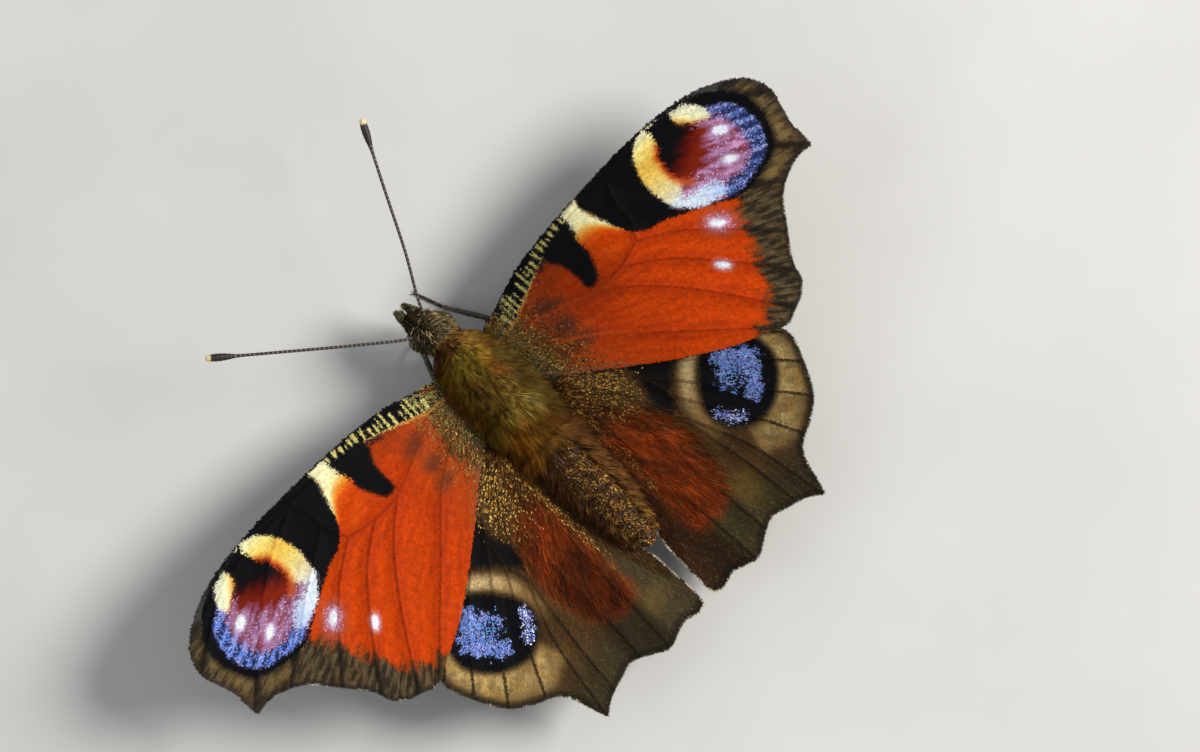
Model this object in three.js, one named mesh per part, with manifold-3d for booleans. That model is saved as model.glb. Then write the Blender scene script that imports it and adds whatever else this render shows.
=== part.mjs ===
// A peacock butterfly (Aglais io) basking with its wings spread, life size, in millimetres.
// It faces -Y, +X is its left and +Z is up. Everything is first placed about the middle of the
// thorax: "lateral" is the distance from the body's middle plane, "rear" the distance along +Y.
// The whole is then moved so that the origin is the bottom centre of its box, on the floor.

import * as THREE from "three";
import Module from "manifold-3d";

const wasm = await Module();
wasm.setup();

// General sizes
const GAP = 0.3; // clear space between a node and what it grows from
const LEFT = 1;
const RIGHT = -1;

// Body: sections across the long axis as [rear, half width, half height, height of the centre]
const BODY_SECTIONS = [
  [-7.85, 0.3, 0.3, 5.7],
  [-7.6, 0.72, 0.75, 5.7],
  [-7.0, 1.2, 1.25, 5.75],
  [-6.2, 1.5, 1.5, 5.8],
  [-5.5, 1.42, 1.45, 5.85],
  [-4.9, 1.2, 1.3, 5.9],
  [-4.2, 1.9, 1.85, 5.9],
  [-3.0, 2.5, 2.5, 5.9],
  [-1.2, 2.78, 2.8, 5.9],
  [0.8, 2.8, 2.8, 5.9],
  [2.6, 2.62, 2.6, 5.85],
  [4.2, 2.25, 2.2, 5.75],
  [5.4, 1.85, 1.85, 5.65],
  [7.0, 1.98, 1.92, 5.55],
  [11.0, 2.02, 1.92, 5.3],
  [13.5, 1.82, 1.75, 5.15],
  [15.5, 1.35, 1.3, 5.05],
  [16.8, 0.8, 0.78, 5.0],
  [17.5, 0.2, 0.2, 5.0],
];
const BODY_SIDES = 20;
const NOSE_REAR = -7.85;
const NECK_REAR = -4.9;
const WAIST_REAR = 5.4;
const TAIL_REAR = 17.5;
const HEAD_RINGS = 9;
const THORAX_RINGS = 13;
const ABDOMEN_SEGMENTS = 8;
const SEGMENT_GROOVE = 0.07; // how far the joint between two abdomen segments sinks in

// Head: it is turned towards the butterfly's left
const HEAD_YAW = THREE.MathUtils.degToRad(9);
const NECK_HEIGHT = 5.8;
const EYE_FORWARD = 1.3;
const EYE_RAISE = 0;
const EYE_BASE = 1.0; // lateral distance of the eye's flat inner face
const EYE_BULGE = 1.0; // from that face to the cornea's outermost point
const EYE_LENGTH_RADIUS = 0.95;
const EYE_HEIGHT_RADIUS = 1.08;
const EYE_SIDES = 14;
const EYE_RINGS = 5;

// Palps, as [forward, lateral, up] from the neck
const PALP_PATH = [
  [2.0, 0.5, -0.95],
  [2.75, 0.52, -0.85],
  [3.3, 0.5, -0.45],
  [3.8, 0.46, 0.05],
  [4.2, 0.42, 0.5],
];
const PALP_RADII = [0.34, 0.34, 0.33, 0.25, 0.08];

// Proboscis, coiled under the head in its middle plane
const COIL_CENTRE = [2.15, -2.65];
const COIL_RADIUS = 1.1;
const COIL_PITCH = 0.8;
const COIL_TURNS = 1.2;
const COIL_STEPS = 18;
const PROBOSCIS_RADIUS = 0.25;

// Antennae: plan of each shaft as [lateral, rear, height]
const ANTENNA_ROOT = [1.75, 0.6, 0.55];
const ANTENNA_PATHS = {
  left: [[1.7, -6.95, 7.0], [5.0, -9.6, 7.9], [9.2, -13.2, 8.9], [13.7, -17.1, 9.6]],
  right: [[0.45, -7.7, 7.0], [2.9, -12.0, 8.1], [5.2, -16.4, 9.0], [7.8, -21.3, 9.6]],
};
const SHAFT_RADIUS = 0.25;
const CLUB_RADIUS = 0.43;
const CLUB_LENGTH = 2.0;
const ANTENNA_STEPS = 16;

// Legs: joints as [lateral, rear, height]: inside the thorax, coxa end, knee, ankle, foot, claw
const LEG_SIDES = 8;
const MIDLEG_JOINTS = {
  left: [
    [0.9, -0.8, 4.4], [1.35, -1.4, 2.7], [2.75, -3.3, 4.1], [1.65, -6.1, 1.5], [1.4, -6.7, 0.11], [0.75, -9.0, 0.11],
  ],
  right: [
    [0.9, -0.8, 4.4], [1.35, -1.4, 2.7], [3.6, -3.8, 4.4], [2.0, -6.5, 1.5], [1.75, -7.0, 0.11], [0.95, -9.3, 0.11],
  ],
};
const HINDLEG_JOINTS = [
  [0.9, 2.0, 4.4], [1.35, 2.5, 2.7], [4.3, 5.4, 4.2], [5.5, 9.2, 1.5], [5.65, 9.8, 0.11], [6.6, 13.4, 0.11],
];
const WALKING_LEG_RADII = [0.5, 0.42, 0.33, 0.29, 0.3, 0.3];
const FORELEG_JOINTS = [
  [0.65, -2.7, 4.5], [0.85, -3.3, 2.95], [1.05, -4.7, 2.75], [1.1, -5.9, 3.3],
];
const FORELEG_RADII = [0.4, 0.36, 0.36, 0.18];
const SOLE_SNAP = 0.06; // what comes this close to the floor is pressed flat against it

// Wings: height of the membrane's middle at the root, and the lie that both pairs share
const FOREWING_ROOT_HEIGHT = 6.95;
const HINDWING_ROOT_HEIGHT = 5.87;
const ROOT_LATERAL = 2.6;
const WING_RISE = 0.17;
const WING_SAG = 0.0012;
const WING_CAMBER = 0.004;
const CAMBER_REAR = 2;
const FOLD_DEPTH = 0.7; // the hindwing's inner margin dips beside the abdomen
const FOLD_LATERAL = 1.5;
const FOLD_WIDTH = 2.0;
const HALF_THICKNESS = 0.25;
const RIDGE = 0.13; // how far a vein stands out of each face
const RIDGE_HALF_WIDTH = 0.4;

// Net of each wing: steps along its outline and veins, and the room that each point keeps
const EDGE_STEP = 0.85;
const VEIN_STEP = 1.35;
const FLANK_SHIFT = 0.06; // flanks lie a little past their crest point, so no four share a circle
const CREST_ROOM = 0.6;
const FLANK_ROOM = 0.36;
const FIELD_STEP = 2.4;
const FIELD_ROOM = 1.1;
const FIELD_FRONT = -6.3;
const FIELD_ROWS = 16;
const FIELD_COLUMNS = 14;

// Each wing's outline is a few smooth runs of [lateral, rear] that meet in corners. The first
// run starts, and the last one ends, on the thorax.
const FOREWING = {
  root: [1.9, -3.2],
  rootHeight: FOREWING_ROOT_HEIGHT,
  runs: [
    [[5, -4.1], [7.3, -4.8], [10.5, -5.25], [15, -5.5], [20.5, -5.55], [25, -5.1], [28.2, -4.1],
      [30.6, -2.4], [31.35, -0.5], [30.75, 1.8], [30.5, 3.1], [30.4, 4.8]],
    [[30.4, 4.8], [29.2, 4.65], [27.7, 5.0], [26.4, 5.7], [24.3, 8.2], [22.9, 10.2], [22.6, 11.3],
      [21.7, 12.2], [20.4, 12.7], [19.5, 13.1], [18.9, 12.95]],
    [[18.9, 12.95], [15, 11.2], [12.1, 9.35], [8, 6.3], [5, 3.9]],
  ],
  veins: {
    subcosta: [[3.4, -2.9], [8, -4.35], [13, -4.95], [17, -5.5]],
    radius: [[3.4, -2.2], [7.5, -3.2], [12, -4.4], [17, -4.75], [21.5, -5.5]],
    radius2: [[17, -4.75], [21, -4.6], [24.5, -5.2]],
    radius4: [[21, -4.6], [25, -4.1], [30.0, -2.9]],
    radius5: [[25, -4.1], [28, -2.4], [31.3, -0.3]],
    media1: [[17.3, -4.5], [21.5, -2.6], [25.5, 0.3], [28.3, 2.8], [30.3, 4.5]],
    cellEnd: [[17.3, -4.5], [16.7, -2.8], [16.6, -1.3], [15.8, 0.3]],
    media2: [[16.7, -1.8], [20, 0.3], [23.5, 2.7], [27.2, 5.3]],
    cubitus: [[3.6, -1.7], [7, -0.7], [11, 0.75], [13.5, 0.8], [15.8, 0.3]],
    media3: [[15.8, 0.3], [18.7, 2.2], [21.6, 5.0], [24.3, 8.0]],
    cubitus1: [[13.4, 0.8], [16.4, 2.9], [19.4, 6.2], [22.7, 10.6]],
    cubitus2: [[10.9, 0.75], [13.2, 2.6], [16.2, 6.0], [20.6, 12.5]],
    anal: [[3.8, 0.2], [8, 2.7], [12.2, 6.6], [18.4, 12.5]],
  },
};
const HINDWING = {
  root: [4.6, 1.3],
  rootHeight: HINDWING_ROOT_HEIGHT,
  runs: [
    [[6.3, 1.9], [11, 4.4], [15.5, 8.3], [18.9, 13.4], [18.3, 15.6], [16.9, 18.2], [15.4, 19.4],
      [13.5, 20.4], [12.8, 21.6], [12.4, 23.0], [12.0, 24.3]],
    [[12.0, 24.3], [10.9, 23.5], [9, 22.9], [7.9, 22.6], [6.9, 22.95], [4.9, 24.05], [3.8, 23.75],
      [2.6, 23.45], [1.3, 23.8], [0.55, 23.5]],
    [[0.55, 23.5], [0.42, 22], [0.5, 20.3], [0.7, 18.6], [1.1, 17.2], [1.65, 15.8], [2.15, 14], [2.4, 12], [2.45, 9],
      [2.4, 6.2]],
  ],
  veins: {
    subcosta: [[3.9, 2.6], [8.5, 4.6], [13.5, 8.3], [18.6, 13.2]],
    sector: [[7.2, 5.6], [11.5, 9.0], [15, 12.4], [18.1, 15.9]],
    media1: [[8.2, 7.4], [12.2, 12.4], [16.7, 18.2]],
    media2: [[9.1, 10.4], [12.1, 15.6], [14.3, 20.0]],
    media3: [[8.6, 12.2], [10.6, 17.2], [11.9, 24.1]],
    cubitus: [[3.6, 3.4], [6.2, 7.0], [8.0, 10.8], [9.3, 16.6], [10.1, 23.1]],
    discal: [[3.9, 2.6], [6.0, 4.4], [8.2, 7.4], [9.1, 10.4], [8.6, 12.2]],
    cubitus2: [[5.9, 6.5], [6.3, 12], [6.6, 18.5], [6.9, 22.8]],
    anal: [[3.5, 4.0], [4.0, 9], [4.3, 16], [4.8, 23.9]],
  },
};

// Finishes
const finish = (color, roughness) => new THREE.MeshStandardMaterial({ color, roughness, metalness: 0 });
const MATERIALS = {
  head: finish(0x5a5232, 0.9),
  eye: finish(0x1c120e, 0.25),
  palp: finish(0x3a3628, 0.9),
  proboscis: finish(0x3a2a1c, 0.5),
  antenna: finish(0x1a1816, 0.6),
  thorax: finish(0x6e5a24, 0.95),
  abdomen: finish(0x4a3620, 0.85),
  forewing: finish(0xb8400f, 0.75),
  hindwing: finish(0x5e4022, 0.8),
  leg: finish(0x1e1814, 0.55),
};

// Value of a smooth curve through rows of [key, value, value...] at one key
function sectionAt(rows, key) {
  const last = rows.length - 1;
  const found = rows.findIndex((row) => row[0] > key);
  const right = found < 0 ? last : Math.max(found, 1);
  const near = [right - 2, right - 1, right, right + 1].map((i) => rows[THREE.MathUtils.clamp(i, 0, last)]);
  const [before, from, to, after] = near;
  const span = to[0] - from[0];
  const t = THREE.MathUtils.clamp((key - from[0]) / span, 0, 1);
  return from.slice(1).map((value, i) => {
    const startSlope = (to[i + 1] - before[i + 1]) / (to[0] - before[0]);
    const endSlope = (after[i + 1] - value) / (after[0] - from[0]);
    const bend = (2 * t - 3) * t * t;
    const lift = ((t - 2) * t + 1) * t * startSlope + (t - 1) * t * t * endSlope;
    return value * (1 + bend) - to[i + 1] * bend + lift * span;
  });
}

// Body section at one place along the axis, with the sideways shift of the turned head
function bodySection(rear) {
  const [halfWidth, halfHeight, height] = sectionAt(BODY_SECTIONS, rear);
  const shift = Math.max(0, NECK_REAR - rear) * Math.tan(HEAD_YAW);
  return { halfWidth, halfHeight, height, shift };
}

// Half width of the body at one height
function bodyHalfWidth(rear, height) {
  const section = bodySection(rear);
  const up = (height - section.height) / section.halfHeight;
  return section.halfWidth * Math.sqrt(Math.max(0, 1 - up * up));
}

// A closed surface through rings of equally many points, with a fan over each end
function closedRings(rings) {
  const sides = rings[0].length;
  const middle = (ring) => ring.reduce((sum, p) => sum.add(p), new THREE.Vector3()).divideScalar(sides);
  const points = [...rings.flat(), middle(rings[0]), middle(rings.at(-1))];
  const startCentre = points.length - 2;
  const endCentre = points.length - 1;
  const lastRing = (rings.length - 1) * sides;
  const faces = [];
  for (let k = 0; k < sides; k += 1) {
    const next = (k + 1) % sides;
    faces.push(startCentre, next, k);
    faces.push(endCentre, lastRing + k, lastRing + next);
    for (let base = 0; base < lastRing; base += sides) {
      faces.push(base + k, base + next, base + sides + next);
      faces.push(base + k, base + sides + next, base + sides + k);
    }
  }
  return outward(new THREE.BufferGeometry().setFromPoints(points).setIndex(faces));
}

// Turns every face over where the surface is inside out
function outward(geometry) {
  const position = geometry.getAttribute("position");
  const index = geometry.getIndex();
  const corner = (i) => new THREE.Vector3().fromBufferAttribute(position, index.getX(i));
  let volume = 0;
  for (let i = 0; i < index.count; i += 3) volume += corner(i).dot(corner(i + 1).cross(corner(i + 2)));
  if (volume < 0) index.array.reverse();
  return geometry;
}

// Rings of a round rod along a path of points
function rodRings(path, radii, sides) {
  let normal = new THREE.Vector3(0, 0, 1);
  return path.map((centre, i) => {
    const from = path[Math.max(i - 1, 0)];
    const to = path[Math.min(i + 1, path.length - 1)];
    const tangent = to.clone().sub(from).normalize();
    if (Math.abs(normal.dot(tangent)) > 0.98) normal = new THREE.Vector3(1, 0, 0);
    normal.addScaledVector(tangent, -normal.dot(tangent)).normalize();
    const side = new THREE.Vector3().crossVectors(tangent, normal);
    return Array.from({ length: sides }, (_, k) => {
      const angle = (2 * Math.PI * (k + 0.5)) / sides;
      const point = centre.clone().addScaledVector(normal, Math.cos(angle) * radii[i]);
      return point.addScaledVector(side, Math.sin(angle) * radii[i]);
    });
  });
}

function toSolid(geometry) {
  const vertProperties = new Float32Array(geometry.getAttribute("position").array);
  const triVerts = new Uint32Array(geometry.getIndex().array);
  return new wasm.Manifold(new wasm.Mesh({ numProp: 3, vertProperties, triVerts }));
}

// The largest closed piece of a solid, with needle-thin faces taken out
function toGeometry(solid) {
  const pieces = solid.simplify(0.008).decompose();
  const largest = pieces.reduce((best, piece) => (piece.volume() > best.volume() ? piece : best));
  const mesh = largest.getMesh();
  const geometry = new THREE.BufferGeometry();
  geometry.setAttribute("position", new THREE.BufferAttribute(new Float32Array(mesh.vertProperties), 3));
  geometry.setIndex(new THREE.BufferAttribute(new Uint32Array(mesh.triVerts), 1));
  return geometry;
}

// One length of the body, cut square at its ends
function bodyLength(stations, grow = 0) {
  return closedRings(stations.map(({ rear, scale = 1 }) => {
    const { halfWidth, halfHeight, height, shift } = bodySection(rear);
    return Array.from({ length: BODY_SIDES }, (_, k) => {
      const angle = (2 * Math.PI * k) / BODY_SIDES;
      const x = shift + (halfWidth * scale + grow) * Math.cos(angle);
      const z = height + (halfHeight * scale + grow) * Math.sin(angle);
      return new THREE.Vector3(x, rear, z);
    });
  }));
}

const evenStations = (from, to, count) =>
  Array.from({ length: count }, (_, i) => ({ rear: THREE.MathUtils.lerp(from, to, i / (count - 1)) }));

const headStations = (grow = 0) => evenStations(NECK_REAR - GAP / 2 + grow, NOSE_REAR - grow, HEAD_RINGS);
const thoraxStations = (grow = 0) =>
  evenStations(NECK_REAR + GAP / 2 - grow, WAIST_REAR - GAP / 2 + grow, THORAX_RINGS);

// The abdomen's segments each swell in the middle and sink at their joints
function abdomenStations() {
  const front = WAIST_REAR + GAP / 2;
  const segment = (TAIL_REAR - front) / ABDOMEN_SEGMENTS;
  const stations = [];
  for (let i = 0; i < ABDOMEN_SEGMENTS; i += 1) {
    stations.push({ rear: front + i * segment, scale: 1 - SEGMENT_GROOVE });
    stations.push({ rear: front + (i + 0.3) * segment });
    stations.push({ rear: front + (i + 0.85) * segment });
  }
  stations.push({ rear: TAIL_REAR });
  return stations;
}

// A place on the turned head, from the neck
function headPlace(forward, lateral, up) {
  const rear = NECK_REAR - forward;
  return new THREE.Vector3(lateral + forward * Math.tan(HEAD_YAW), rear, NECK_HEIGHT + up);
}

// A domed eye with a flat inner face
function eyeDome(side, grow = 0) {
  const rings = [];
  const base = EYE_BASE - grow;
  for (let i = 0; i <= EYE_RINGS; i += 1) {
    const angle = (i / (EYE_RINGS + 0.15)) * (Math.PI / 2);
    const lateral = base + (EYE_BULGE + 2 * grow) * Math.sin(angle);
    rings.push(Array.from({ length: EYE_SIDES }, (_, k) => {
      const turn = (2 * Math.PI * k) / EYE_SIDES;
      const forward = EYE_FORWARD + (EYE_LENGTH_RADIUS + grow) * Math.cos(angle) * Math.cos(turn);
      const up = EYE_RAISE + (EYE_HEIGHT_RADIUS + grow) * Math.cos(angle) * Math.sin(turn);
      return headPlace(forward, side * lateral, up);
    }));
  }
  return closedRings(rings);
}

const headCore = toSolid(bodyLength(headStations(), 0));
const headClearance = toSolid(bodyLength(headStations(GAP), GAP));
const thoraxClearance = toSolid(bodyLength(thoraxStations(GAP), GAP));

function headGeometry() {
  const sockets = [LEFT, RIGHT].map((side) => toSolid(eyeDome(side, GAP)));
  return toGeometry(sockets.reduce((head, socket) => head.subtract(socket), headCore));
}

function palpGeometry(side) {
  const path = PALP_PATH.map(([forward, lateral, up]) => headPlace(forward, side * lateral, up));
  return toGeometry(toSolid(closedRings(rodRings(path, PALP_RADII, 10))).subtract(headClearance));
}

function proboscisGeometry() {
  const [centreForward, centreUp] = COIL_CENTRE;
  const path = [headPlace(1.3, 0, -0.9), headPlace(2.0, 0, -1.35)];
  for (let i = 0; i <= COIL_STEPS; i += 1) {
    const turn = (i / COIL_STEPS) * COIL_TURNS;
    const angle = Math.PI * (0.28 - 2 * turn);
    const radius = COIL_RADIUS - COIL_PITCH * turn;
    path.push(headPlace(centreForward + radius * Math.cos(angle), 0, centreUp + radius * Math.sin(angle)));
  }
  const radii = path.map(() => PROBOSCIS_RADIUS);
  return toGeometry(toSolid(closedRings(rodRings(path, radii, 8))).subtract(headClearance));
}

function antennaGeometry(side, plan) {
  const [forward, lateral, up] = ANTENNA_ROOT;
  const places = plan.map(([out, rear, height]) => new THREE.Vector3(side * out, rear, height));
  const curve = new THREE.CatmullRomCurve3([headPlace(forward, side * lateral, up), ...places]);
  const length = curve.getLength();
  const clubStart = 1 - CLUB_LENGTH / length;
  const shaftEnd = clubStart - 1 / length;
  const along = [...Array(ANTENNA_STEPS).keys()].map((i) => (i / ANTENNA_STEPS) * shaftEnd);
  const radii = along.map(() => SHAFT_RADIUS);
  const club = [[clubStart, 0.7], [clubStart + 0.3 * (1 - clubStart), 0.95], [0.96, 1], [0.99, 0.75], [1, 0.3]];
  for (const [at, swell] of club) {
    along.push(at);
    radii.push(CLUB_RADIUS * swell);
  }
  const path = along.map((at) => curve.getPointAt(at));
  return toGeometry(toSolid(closedRings(rodRings(path, radii, 8))).subtract(headClearance));
}

// A leg as one jointed rod: three stations on each length keep it straight between joints
function legGeometry(side, joints, jointRadii) {
  const places = joints.map(([lateral, rear, height]) => new THREE.Vector3(side * lateral, rear, height));
  const path = [places[0]];
  const radii = [jointRadii[0]];
  for (let i = 1; i < places.length; i += 1) {
    for (const t of [0.15, 0.5, 0.85]) {
      path.push(places[i - 1].clone().lerp(places[i], t));
      radii.push(THREE.MathUtils.lerp(jointRadii[i - 1], jointRadii[i], t));
    }
  }
  path.push(places.at(-1));
  radii.push(jointRadii.at(-1) * 0.8);
  const rings = rodRings(path, radii, LEG_SIDES);
  for (const point of rings.flat()) {
    if (point.z < SOLE_SNAP) point.z = 0;
  }
  return toGeometry(toSolid(closedRings(rings)).subtract(thoraxClearance));
}

// Height of the membrane's middle at one place of the plan
function wingHeight(wing, lateral, rear) {
  const out = lateral - ROOT_LATERAL;
  let height = wing.rootHeight + WING_RISE * out - WING_SAG * out * out - WING_CAMBER * (rear - CAMBER_REAR) ** 2;
  if (wing === HINDWING) {
    const beside = Math.exp(-(((lateral - FOLD_LATERAL) / FOLD_WIDTH) ** 2));
    height -= FOLD_DEPTH * beside * THREE.MathUtils.smoothstep(rear, 4, 10);
  }
  return height;
}

// Points of the plan at even steps along a smooth run
function evenly(run, step) {
  const curve = new THREE.CatmullRomCurve3(run.map(([x, y]) => new THREE.Vector3(x, y, 0)), false, "centripetal");
  const count = Math.max(2, Math.round(curve.getLength() / step));
  return curve.getSpacedPoints(count).map((p) => [p.x, p.y]);
}

function wingOutline(wing) {
  const [rootRear, rootFront] = wing.root;
  const rootEdge = (rear) => [bodyHalfWidth(rear, wing.rootHeight) + GAP, rear];
  const edge = [];
  const runs = wing.runs.map((run) => [...run]);
  runs[0].unshift(rootEdge(rootFront));
  runs.at(-1).push(rootEdge(rootRear));
  runs.push([2, 1, 0].map((i) => rootEdge(THREE.MathUtils.lerp(rootFront, rootRear, i / 2))));
  for (const run of runs) edge.push(...evenly(run, EDGE_STEP).slice(0, -1));
  return edge;
}

const distance = (a, b) => Math.hypot(a[0] - b[0], a[1] - b[1]);

function isInside([x, y], outline) {
  let inside = false;
  outline.forEach(([ax, ay], i) => {
    const [bx, by] = outline[(i + 1) % outline.length];
    if (ay > y !== by > y && x < ax + ((y - ay) * (bx - ax)) / (by - ay)) inside = !inside;
  });
  return inside;
}

// The plan's points as { at, lift }: the outline, the veins' crests and flanks, the field between
function wingPoints(wing, outline) {
  const points = outline.map((at) => ({ at, lift: 0 }));
  const isFree = (at, room) => points.every((p) => distance(p.at, at) > room);
  const add = (at, lift, room) => {
    if (isInside(at, outline) && isFree(at, room)) points.push({ at, lift });
  };
  const crests = Object.values(wing.veins).map((vein) => evenly(vein, VEIN_STEP));
  for (const crest of crests) {
    for (const at of crest) add(at, RIDGE, CREST_ROOM);
  }
  for (const crest of crests) {
    for (let i = 1; i < crest.length; i += 1) {
      const [ax, ay] = crest[i - 1];
      const [bx, by] = crest[i];
      const length = distance(crest[i - 1], crest[i]);
      for (const hand of [-1, 1]) {
        const across = (hand * RIDGE_HALF_WIDTH) / length;
        const x = ax + (bx - ax) * FLANK_SHIFT - (by - ay) * across;
        const y = ay + (by - ay) * FLANK_SHIFT + (bx - ax) * across;
        add([x, y], 0, FLANK_ROOM);
      }
    }
  }
  for (let row = 0; row < FIELD_ROWS; row += 1) {
    for (let column = 0; column < FIELD_COLUMNS; column += 1) {
      const stagger = 0.5 * (row % 2) + 0.05 * Math.sin(7 * row + 3 * column);
      add([(column + stagger) * FIELD_STEP, FIELD_FRONT + row * FIELD_STEP * 0.87], 0, FIELD_ROOM);
    }
  }
  return points;
}

function circumcircle(points, corners) {
  const [[ax, ay], [bx, by], [cx, cy]] = corners.map((i) => points[i]);
  const scale = 2 * (ax * (by - cy) + bx * (cy - ay) + cx * (ay - by));
  const [a2, b2, c2] = [ax * ax + ay * ay, bx * bx + by * by, cx * cx + cy * cy];
  const centre = [
    (a2 * (by - cy) + b2 * (cy - ay) + c2 * (ay - by)) / scale,
    (a2 * (cx - bx) + b2 * (ax - cx) + c2 * (bx - ax)) / scale,
  ];
  return { corners, centre, radius: distance(centre, [ax, ay]) };
}

// Triangles between points of the plan, each free of other points in its circle
function triangulate(plan) {
  const far = 1e4;
  const points = [...plan, [-far, -far], [far, -far], [0, far]];
  let triangles = [circumcircle(points, [plan.length, plan.length + 1, plan.length + 2])];
  plan.forEach((point, i) => {
    const rim = new Map();
    triangles = triangles.filter(({ corners, centre, radius }) => {
      if (distance(point, centre) > radius) return true;
      corners.forEach((from, k) => {
        const to = corners[(k + 1) % 3];
        const key = `${Math.min(from, to)} ${Math.max(from, to)}`;
        if (!rim.delete(key)) rim.set(key, [from, to]);
      });
      return false;
    });
    for (const [from, to] of rim.values()) triangles.push(circumcircle(points, [from, to, i]));
  });
  return triangles.map(({ corners }) => corners).filter((corners) => corners.every((i) => i < plan.length));
}

// A wing: one net of triangles used for both faces, joined by a rim
function wingGeometry(side, wing) {
  const outline = wingOutline(wing);
  const points = wingPoints(wing, outline);
  const plan = points.map(({ at }) => at);
  const centroid = (corners) => [0, 1].map((axis) => corners.reduce((sum, i) => sum + plan[i][axis] / 3, 0));
  const net = triangulate(plan).filter((corners) => isInside(centroid(corners), outline));
  const face = (hand) => points.map(({ at: [lateral, rear], lift }) => {
    const height = wingHeight(wing, lateral, rear) + hand * (HALF_THICKNESS + lift);
    return new THREE.Vector3(side * lateral, rear, height);
  });
  const under = points.length;
  const faces = net.flatMap(([a, b, c]) => [a, b, c, under + a, under + c, under + b]);
  const turn = net[0].map((i) => plan[i]);
  const sense = Math.sign(
    (turn[1][0] - turn[0][0]) * (turn[2][1] - turn[0][1]) - (turn[2][0] - turn[0][0]) * (turn[1][1] - turn[0][1]),
  );
  const area = outline.reduce((sum, [x, y], i) => {
    const [nextX, nextY] = outline[(i + 1) % outline.length];
    return sum + x * nextY - nextX * y;
  }, 0);
  const along = Math.sign(area) === sense;
  outline.forEach((_, i) => {
    const next = (i + 1) % outline.length;
    const [a, b] = along ? [i, next] : [next, i];
    faces.push(b, a, under + a, b, under + a, under + b);
  });
  return outward(new THREE.BufferGeometry().setFromPoints([...face(1), ...face(-1)]).setIndex(faces));
}

function node(name, geometry, material) {
  const mesh = new THREE.Mesh(geometry, material);
  mesh.name = name;
  return mesh;
}

const group = new THREE.Group();
group.name = "peacock_butterfly";
group.add(
  node("head", headGeometry(), MATERIALS.head),
  node("thorax", bodyLength(thoraxStations()), MATERIALS.thorax),
  node("abdomen", bodyLength(abdomenStations()), MATERIALS.abdomen),
  node("proboscis", proboscisGeometry(), MATERIALS.proboscis),
);
for (const [name, side] of [["left", LEFT], ["right", RIGHT]]) {
  group.add(
    node(`eye_${name}`, eyeDome(side), MATERIALS.eye),
    node(`palp_${name}`, palpGeometry(side), MATERIALS.palp),
    node(`antenna_${name}`, antennaGeometry(side, ANTENNA_PATHS[name]), MATERIALS.antenna),
    node(`forewing_${name}`, wingGeometry(side, FOREWING), MATERIALS.forewing),
    node(`hindwing_${name}`, wingGeometry(side, HINDWING), MATERIALS.hindwing),
    node(`foreleg_${name}`, legGeometry(side, FORELEG_JOINTS, FORELEG_RADII), MATERIALS.leg),
    node(`midleg_${name}`, legGeometry(side, MIDLEG_JOINTS[name], WALKING_LEG_RADII), MATERIALS.leg),
    node(`hindleg_${name}`, legGeometry(side, HINDLEG_JOINTS, WALKING_LEG_RADII), MATERIALS.leg),
  );
}

// The origin goes to the bottom centre of the whole
const box = new THREE.Box3().setFromObject(group);
const middle = box.getCenter(new THREE.Vector3());
group.position.set(-middle.x, -middle.y, -box.min.z);

export default group;
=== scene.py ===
# A peacock butterfly basking with its wings spread: scales, hair, eyes, studio light and camera
import math

import bpy
import numpy as np
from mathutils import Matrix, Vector
from mathutils.geometry import delaunay_2d_cdt
from mathutils.kdtree import KDTree


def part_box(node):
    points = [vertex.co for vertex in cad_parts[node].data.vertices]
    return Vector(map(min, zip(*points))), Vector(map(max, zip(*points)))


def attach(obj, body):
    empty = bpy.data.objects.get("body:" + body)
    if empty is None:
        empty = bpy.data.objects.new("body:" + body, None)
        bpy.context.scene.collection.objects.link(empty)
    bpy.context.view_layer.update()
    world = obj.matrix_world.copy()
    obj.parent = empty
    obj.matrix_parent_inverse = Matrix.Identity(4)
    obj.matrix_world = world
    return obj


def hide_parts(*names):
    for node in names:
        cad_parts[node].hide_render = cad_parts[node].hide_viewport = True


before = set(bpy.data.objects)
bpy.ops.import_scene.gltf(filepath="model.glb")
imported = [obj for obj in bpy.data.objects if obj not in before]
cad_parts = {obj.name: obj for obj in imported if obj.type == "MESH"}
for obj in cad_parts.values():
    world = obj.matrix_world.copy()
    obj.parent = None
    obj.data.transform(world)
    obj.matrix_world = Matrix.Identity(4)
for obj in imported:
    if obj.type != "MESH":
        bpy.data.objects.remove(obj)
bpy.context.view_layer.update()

# Shared sizes in mm. "lateral" runs out from the body's middle plane, "rear" back from the
# thorax's middle, and height up from the floor.
MM = 0.001
LEFT, RIGHT = 1, -1
SIDES = {"left": LEFT, "right": RIGHT}
TAIL_REAR = 17.5
REAR_SHIFT = TAIL_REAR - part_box("abdomen")[1][1] / MM
NECK_REAR = -4.9
NECK_HEIGHT = 5.8
HEAD_YAW = math.radians(9)


def place(side, lateral, rear, height):
    """World places, in metres, of plan places in mm."""
    lateral, rear, height = np.broadcast_arrays(side * np.asarray(lateral, float), rear, height)
    return np.stack([lateral, rear - REAR_SHIFT, height], axis=-1) * MM


def plan_of(places):
    """Plan places in mm of world places."""
    return places[:, :2] / MM + [0, REAR_SHIFT]


def smoothstep(low, high, value):
    t = np.clip((value - low) / (high - low), 0, 1)
    return t * t * (3 - 2 * t)


def unit(vectors):
    return vectors / np.maximum(np.linalg.norm(vectors, axis=-1, keepdims=True), 1e-12)


def square_to(directions):
    """Plan directions turned a quarter to the left."""
    return np.stack([-directions[:, 1], directions[:, 0]], axis=1)


def winding(outline):
    """1 or -1, for an outline that runs one way round or the other."""
    x, y = outline.T
    return np.sign(np.sum(x * np.roll(y, -1) - y * np.roll(x, -1)))


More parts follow.
